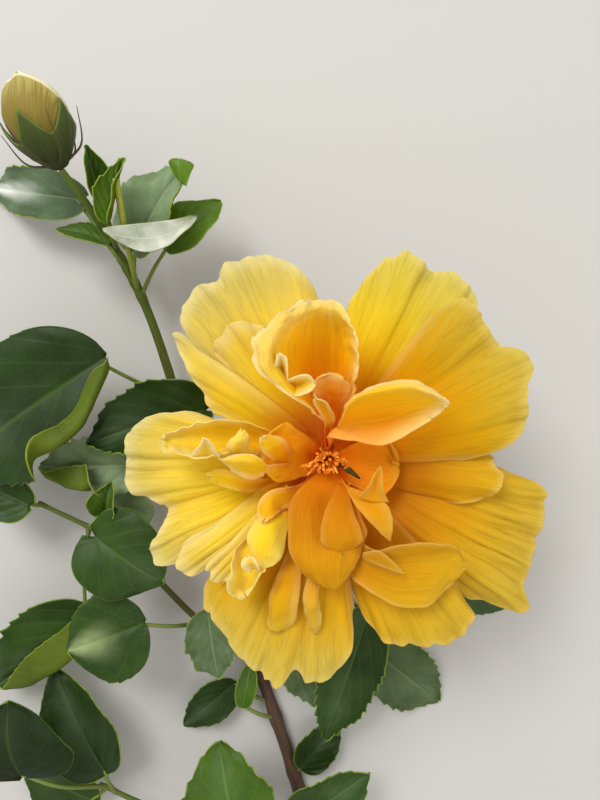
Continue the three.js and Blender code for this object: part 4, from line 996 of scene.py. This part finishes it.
# %% Rows of the leaves
# stem, place along it, foot lobes, foot, tip, width, facing, fold, curl right and left, curl start,
# arch, wave, waves, twist; finish, tooth depth in mm
LEAVES = {
    "leaf_bud_left": ("main_stem", 0.92, 0.1, (-86, 79, 25), (-134, 92, 0.5),
                      21, -15, 12, 20, 60, 0.72, 4, 1.5, 2, 10, "sheen", 0.6),
    "leaf_bud_young": ("main_stem", 0.89, 0, (-78.5, 77, 26), (-82, 97, 33),
                       14, 35, 45, 10, 10, 0.5, 1, 0.5, 2, 0, "fresh", 0.2),
    "leaf_trough": ("main_stem", 0.94, 0, (-71.5, 65.5, 37), (-63.5, 87.5, 45),
                    15, -22, 44, 30, 35, 0.4, 1, 0.5, 2, 0, "bright", 0.8),
    "leaf_curly": ("main_stem", 0.86, 0.04, (-65, 58, 27), (-43, 89, 34),
                   29, -10, 25, 30, -40, 0.4, 3, 2, 2, -20, "glaucous", 1.0),
    "leaf_saddle": ("main_stem", 0.89, 0, (-74, 60, 29), (-96, 67, 27),
                    12, 45, 10, 10, 10, 0.5, 2, 0.5, 1, 0, "fresh", 0.7),
    "leaf_fresh": ("main_stem", 0.83, 0, (-54, 60, 22), (-31, 78, 24),
                   20, -10, 15, 20, 20, 0.5, 2, 1, 2, 0, "bright", 0.3),
    "leaf_big_left": ("main_stem", 0.66, 0.02, (-73, 16, 36), (-138, -28, 26),
                      54, 0, 8, -25, 200, 0.6, 5, 1.5, 2, 0, "dark", 1.6),
    "leaf_left_edge": ("left_branch", 0.98, 0.1, (-108, -42, 22), (-134, -30, 18),
                       22, 0, 10, 30, 30, 0.5, 2, 1, 2, 0, "middle", 0.4),
    "leaf_glaucous": ("main_stem", 0.56, 0.1, (-64, -26, 24), (-104, -26, 22),
                      25, 0, 15, 15, 185, 0.36, 3, 1, 2, 0, "glaucous", 1.5),
    "leaf_behind_bloom": ("main_stem", 0.59, 0.1, (-36, -4, 32), (-82, -17, 30),
                          32, 20, 30, 20, 10, 0.5, 3, 1, 3, 0, "dark", 1.5),
    "leaf_folded": ("left_branch", 0.72, 0, (-75.5, -45.5, 28), (-72, -31, 33),
                    16, -10, 35, 20, 20, 0.5, 1, 0.5, 2, 0, "fresh", 0.4),
    "leaf_round": ("left_branch", 0.7, 0.2, (-78, -52, 33), (-52, -70, 31),
                   35, 0, 5, -20, -20, 0.5, 4, 1, 2, 0, "middle", 0.1),
    "leaf_grey": ("left_branch", 0.62, 0, (-60, -48, 18), (-76, -38, 20),
                  13, 0, 10, 10, 10, 0.5, 1, 0.5, 2, 0, "glaucous", 0.3),
    "leaf_left_mid": ("left_branch", 0.3, 0.05, (-60, -86, 30), (-90, -97, 29),
                      35, 0, 10, -20, -30, 0.5, 3, 1, 2, 0, "banded", 0.6),
    "leaf_margin": ("left_branch", 0.8, 0.1, (-85.5, -88.5, 17), (-127, -119.5, 10),
                    38, 0, 10, 20, 190, 0.32, 3, 1, 2, 0, "middle", 1.8),
    "leaf_low_dark": ("lower_left_branch", 0.9, 0.02, (-80, -154, 14), (-101, -110, 15),
                      32, 0, 15, 20, 20, 0.5, 3, 1, 2, 0, "dark", 0.4),
    "leaf_low_round": ("lower_left_branch", 0.97, 0.04, (-106, -144, 32), (-108, -111, 40),
                       46, 0, 8, -30, -30, 0.5, 5, 1, 2, 0, "deep", 0.3),
    "leaf_low_light": ("lower_left_branch", 0.95, 0.1, (-86, -168, 10), (-120, -158, 0.5),
                       28, 0, 10, 10, 10, 0.5, 2, 1, 2, 0, "middle", 0.5),
    "leaf_crinkled": ("left_branch", 0.2, 0.1, (-37, -86, 20), (-33, -112, 20),
                      21, 0, 12, 20, 20, 0.5, 2, 2.2, 3, 0, "dusty", 1.3),
    "leaf_under_bottom": ("main_stem", 0.3, 0, (-8, -103, 10), (16, -130, 7),
                          20, 0, 10, 10, 10, 0.5, 1, 1, 3, 0, "dusty", 1.1),
    "leaf_pointing": ("bloom_pedicel", 0.45, 0.1, (27, -86, 22), (10, -140, 14),
                      26, 0, 15, 20, 30, 0.5, 2, 1, 3, 0, "middle", 1.2),
    "leaf_right_low": ("bloom_pedicel", 0.3, 0.1, (32, -106, 8), (60, -131, 0.5),
                       29, 0, 8, 10, 10, 0.5, 2, 1, 2, 0, "grey", 1.2),
    "leaf_bottom_left": ("main_stem", 0.14, 0.1, (-24, -176, 24), (-32, -134, 26),
                         41, 0, 10, 20, 20, 0.5, 3, 1.5, 3, 0, "fresh", 1.4),
    "leaf_bottom_right": ("main_stem", 0.1, 0.1, (-2, -172, 16), (28, -150, 20),
                          25, 0, 10, 20, 20, 0.5, 2, 1, 2, 0, "middle", 0.8),
    "leaf_olive": ("main_stem", 0.24, 0, (-24, -128, 12), (-20, -108, 12),
                   9, 0, 10, 10, 10, 0.5, 1, 0.5, 2, 0, "fresh", 0.2),
    "leaf_dark_right": ("main_stem", 0.17, 0, (0, -158, 5), (17, -137, 3),
                        17, 0, 10, 10, 10, 0.5, 1, 0.5, 2, 0, "dark", 0.6),
    "leaf_dark_left": ("main_stem", 0.26, 0, (-27, -120, 6), (-50, -140, 3),
                       17, 0, 10, 10, 10, 0.5, 1, 0.5, 2, 0, "dark", 0.6),
    "leaf_right": ("bloom_pedicel", 0.6, 0.1, (50, -60, 14), (90, -90, 0.5),
                   30, 0, 10, 10, 10, 0.5, 2, 1, 2, 0, "middle", 0.9),
}
print("leaves:", len(LEAVES))

# %% [markdown]
# A tooth leans forward: the edge creeps out and then drops back. The quilting sinks a little over
# each vein, which is how the blade looks stretched between its ribs. The leaf stalk is a thin limb
# from the stem to just inside the blade.

# %% Leaves and their stalks
LEAF_THICKNESS = 0.4
TOOTH_SPACING = 4.2
PETIOLE_RADIUS = 0.9


def leaf_point(row, lobe, tooth_depth, seed, roll, u, v):
    a = abs(u)
    length = (Vector(row[1]) - Vector(row[0])).length
    count = max(4, round(length / TOOTH_SPACING))
    edge = 2 if u > 0 else 6
    phase = (v * count + 0.6 * wrinkle(v * count / 3, edge, seed)) % 1
    depth = tooth_depth * (1 + 0.8 * wrinkle(v * count / 1.6, edge + 1, seed))
    tooth = depth * (phase ** 1.5 - 0.5) * soft_step(0.2, 0.45, v) * (1 - soft_step(0.94, 1.0, v))
    rib = (v - VEIN_LEAN * a) * VEIN_PAIRS
    off = abs(rib - round(rib))
    quilt = -0.22 * exp(-(off / 0.16) ** 2) * soft_step(0.0, 0.15, a) * (1 - soft_step(0.75, 1.0, a))
    midrib = -0.5 * exp(-(a * row[2] / 2 / 1.2) ** 2)
    across = u * row[2] / 2
    crease = 1.5 * wrinkle(across / 13, v * length / 14, seed) + 0.5 * wrinkle(across / 6, v * length / 6, seed + 3)
    relief = (quilt + midrib) * soft_step(0.02, 0.15, v) * (1 - soft_step(0.85, 1, v)) + crease * v
    return *blade_point(row, lobe, u, v, tooth, roll), relief


def leaf_stalk(name, stem_name, spot, row, lobe):
    start = path_point(STEMS[stem_name][2], spot)
    end = blade_point(row, lobe, 0.0, 0.04)[0] - Vector((0, 0, 0.4))
    middle = start.lerp(end, 0.5) + Vector((0, 0, 0.1 * (end - start).length))
    bm = grid(12, 30)
    limb(bm, PETIOLE_RADIUS, 0.75 * PETIOLE_RADIUS, [start, middle, end], 12, 30,
         lambda t, turn: 0.35 * exp(-(t / 0.06) ** 2) + 0.04 * sin(3 * turn))
    return finish(bm, "stalk_of_" + name, [stalk, stalk], name)


for seed, (name, (stem_name, spot, lobe, foot, tip, width, *form, finish_name, tooth)) in enumerate(LEAVES.items()):
    row = (foot, tip, width, LEAFY, *form)
    length = (Vector(tip) - Vector(foot)).length
    rows = min(150, max(56, round(length * 2.2)))
    roll = ROLLS.get(name, NO_ROLL)
    sheet(name + "_blade", lambda u, v: leaf_point(row, lobe, tooth, seed + 80, roll, u, v), 34, rows,
          LEAF_THICKNESS, [LEAF_SKINS[finish_name], LEAF_SKINS["under"]], "leaf", name, 1.15)
    leaf_stalk(name, stem_name, spot, row, lobe)
# the curly leaf's lower lobe and its rolled tip, as rows of places in mm
LOBES = {
    # the lower lobe's whitish finish is painted sheen
    "leaf_curly_lower_lobe": (("whitish_sheen", "under"), (
        ((-73, 63.5, 40), (-72.8, 62.8, 40), (-72.5, 62.2, 40)),
        ((-67, 64.2, 41.5), (-67, 60.8, 40), (-66.2, 57.9, 39.5)),
        ((-58.4, 65, 42), (-58.4, 59.8, 40), (-57.7, 54.6, 39.5)),
        ((-49.6, 65.8, 43), (-49.4, 60.8, 41), (-48.4, 56.4, 41)),
        ((-41.6, 66.9, 43.5), (-41, 64.6, 42.5), (-40.2, 62.8, 43)),
        ((-37.4, 68.3, 44), (-37.2, 67.5, 44), (-37, 66.8, 44)),
    )),
    "leaf_curly_tip": (("bright", "under"), (
        ((-45.6, 82, 41), (-43.9, 80.2, 41), (-41.8, 78.5, 41)),
        ((-47, 84.4, 41.5), (-44.2, 83.5, 43), (-40.6, 81.4, 41.5)),
        ((-48.2, 86.4, 42), (-44.4, 86.1, 43.5), (-39.2, 84.1, 42)),
        ((-48.2, 87.9, 42), (-43.9, 88.1, 42.5), (-37.4, 86.5, 42)),
    )),
}
for seed, (name, (skins, rows)) in enumerate(LOBES.items()):
    blade(name, [[Vector(p) for p in row] for row in rows], 0.8, seed + 150,
          [LEAF_SKINS[skin] for skin in skins], "leaf", "leaf_curly")

bm = grid(12, 40)
limb(bm, 1.0, 1.3, [(-65.5, 43, 18), (-65.2, 58, 34), (-66.2, 79.5, 46)], 12, 40)
finish(bm, "bare_stalk", [bare_stalk, pith], "leaf_trough")
print("leaves made:", len(LEAVES))

# %% [markdown]
# ## Calyx and bud
# Five green sepals are joined into a cup and end in points, and six narrow bracts stand under them.
# The bud is five petals rolled round each other, so their pale rims run up it in a slow spiral.

# %% Sepal and bud finishes


def ribbed_skin(name, stops, rim, roughness, ribs):
    """Matt skin with fine ribs that run from foot to tip."""
    material, tree = new_material(name)
    uv = add(tree, "ShaderNodeUVMap", uv_map="UVMap")
    fibres = add(tree, "ShaderNodeMapping", {"Vector": uv.outputs[0], "Scale": (ribs, 1.5, 1)})
    grain = add(tree, "ShaderNodeTexNoise", {"Vector": fibres.outputs[0], "Scale": 1.0, "Detail": 3.0})
    split = add(tree, "ShaderNodeSeparateXYZ", {0: uv.outputs[0]})
    shift = add(tree, "ShaderNodeMath", {0: grain.outputs[0], 1: 0.9, 2: -0.45}, operation="MULTIPLY_ADD")
    along = add(tree, "ShaderNodeMath", {0: split.outputs[1], 1: shift.outputs[0]}, operation="ADD")
    colour = add(tree, "ShaderNodeValToRGB", {0: along.outputs[0]}, stops)
    distance = add(tree, "ShaderNodeAttribute", attribute_name="rim_mm")
    edge = add(tree, "ShaderNodeMapRange", {0: distance.outputs["Fac"], 1: 0.2, 2: 1.0, 3: 0.85, 4: 0.0})
    paler = add(tree, "ShaderNodeMix", {0: edge.outputs[0], 6: colour.outputs[0], 7: linear(rim)}, data_type="RGBA")
    bump = add(tree, "ShaderNodeBump", {"Height": grain.outputs[0], "Strength": 0.5, "Distance": 0.0004})
    surface = add(tree, "ShaderNodeBsdfPrincipled",
                  {"Base Color": paler.outputs[2], "Roughness": roughness,
                   "Specular IOR Level": 0.25, "Normal": bump.outputs[0]})
    add(tree, "ShaderNodeOutputMaterial", {"Surface": surface.outputs[0]})
    return material


sepal_skin = ribbed_skin("green_sepal", [(0.1, "#2e3610"), (0.9, "#424f1a")], "#66742e", 0.55, 60)
bract_skin = ribbed_skin("dark_bract", [(0.1, "#34381a"), (0.9, "#4c4630")], "#4c4630", 0.6, 20)
bud_skin = ribbed_skin("olive_bud_petal", [
    (0.0, "#6a6424"), (0.35, "#756520"), (0.7, "#86742e"), (0.95, "#a89a54")], "#f2ecc4", 0.6, 46)
pale_bud_skin = ribbed_skin("cream_bud_petal", [
    (0.0, "#8a823e"), (0.4, "#b8ae74"), (0.75, "#dcd6b4")], "#f6f1d8", 0.6, 46)
print("finishes:", sepal_skin.name, bract_skin.name, bud_skin.name, pale_bud_skin.name)

# %% Calyces


def calyx(name, profile, low, high, spot, start=0.0):
    """A five-pointed cup; profile(share) gives radius and height along a sepal."""
    def point(u, v):
        point_share = abs((5 * u + 20) % 2 - 1)
        share = v * (low + (high - low) * point_share ** 1.6)
        radius, height = profile(share)
        radius *= soft_step(-0.02, 0.06, v)
        rib = 0.25 * cos(15 * pi * u) * v
        turn = pi * u + start
        return spot((radius + rib) * cos(turn), (radius + rib) * sin(turn), height), (1 - v) * 10
    bm = grid(100, 26)
    rim = bm.verts.layers.float["rim_mm"]
    for vert in bm.verts:
        where, vert[rim] = point(vert.co.x, (vert.co.y + 1) / 2)
        vert.co = place(where)
    bmesh.ops.remove_doubles(bm, verts=bm.verts, dist=1e-6)
    bm.normal_update()
    cup = finish(bm, name + "_cup", [sepal_skin], name)
    wall = cup.modifiers.new("thickness", "SOLIDIFY")
    wall.thickness, wall.offset = 0.6 * MM, 0.0


def bracts(name, spot, reach, rise):
    for k in range(6):
        turn = k * pi / 3 + 0.3
        path = [spot(out * reach * cos(turn), out * reach * sin(turn), 0.8 + up * rise)
                for out, up in ((0.2, 0.05), (0.75, 0.3), (1, 1))]
        bm = grid(10, 30)
        limb(bm, 0.55, 0.12, path, 10, 30)
        finish(bm, f"{name}_bract_{k + 1}", [bract_skin, bract_skin], name)


def bloom_spot(x, y, z):
    return AXIS + Vector((x, y, z + CALYX_FOOT))


CALYX_FOOT = 24.0
calyx("bloom_calyx", lambda g: (between((2.4, 5.8, 6.6, 9, 13, 18, 23), 2 * g - 1),
                                between((0, 2.5, 8, 13, 16, 18, 19), 2 * g - 1)), 0.3, 1.0, bloom_spot)
bracts("bloom_calyx", bloom_spot, 13, 5)
print("bloom calyx made")

# %% Bud
BUD_BASE, BUD_TIP = Vector((-86, 83, 46)), Vector((-97, 112.5, 57))
BUD_RADIUS = 11.0
bud_length = (BUD_TIP - BUD_BASE).length
bud_turn = Vector((0, 0, 1)).rotation_difference(BUD_TIP - BUD_BASE)


def bud_spot(x, y, z):
    return BUD_BASE + bud_turn @ Vector((x, y, z))


def bud_radius(height):
    return BUD_RADIUS * between((0.1, 0.54, 0.86, 1, 0.95, 0.7, 0.2), 2 * height / bud_length - 1)


# each petal's azimuth at its foot, its share of the bud's length, how far it stands outside the others
FURLED = ((0, 1.0, 0.0), (72, 0.99, 0.0), (144, 0.97, 0.0), (216, 0.92, 0.06), (288, 0.97, 0.02))
FRONT = 3
# how far a petal's rim falls towards its sides; the front one falls on the right only
SAG, FRONT_SAG_LEFT, FRONT_SAG_RIGHT = 0.16, 0.1, 0.66


def furled_point(k, u, v):
    """Petal k, with one side under its neighbour and one side over the next."""
    azimuth, top, outside = FURLED[k]
    sag = SAG
    if k == FRONT:
        sag = FRONT_SAG_RIGHT if u > 0 else FRONT_SAG_LEFT
    bow = 1 - sag * u * u * v + 0.02 * v * wrinkle(4 * u, 0, k)
    height = 1.9 + v * (bud_length * top - 1.9) * bow
    turn = radians(azimuth + 42 + 78 * u + 45 * v * v)
    layer = 0.89 + outside + 0.10 * (u + 1) / 2
    radius = bud_radius(height) * (layer + 0.04 * wrinkle(2 * u, 3 * v, k))
    if k != FRONT:
        radius = (radius + 0.5 * v ** 8 * (1 + u)) * (1 - 0.85 * v ** 12)
    spot = bud_spot(radius * cos(turn), radius * sin(turn), height)
    return spot, min((1 - v) * 30, 1.1 + (1 - u) * 4), 0.15 * v * wrinkle(9 * u, v, k + 3)


calyx("bud_calyx", lambda g: (bud_radius(0.6 * g * bud_length) + 1.1, 0.6 * g * bud_length), 0.52, 1.0, bud_spot, -0.15)
bracts("bud_calyx", bud_spot, 14.5, 16)
for k in range(len(FURLED)):
    sheet(f"bud_petal_{k + 1}", lambda u, v: furled_point(k, u, v), 40, 60,
          0.45, [pale_bud_skin if k in (0, 4) else bud_skin], "bud", "bud_petals", 1.2)
print("bud radius:", BUD_RADIUS, "mm")
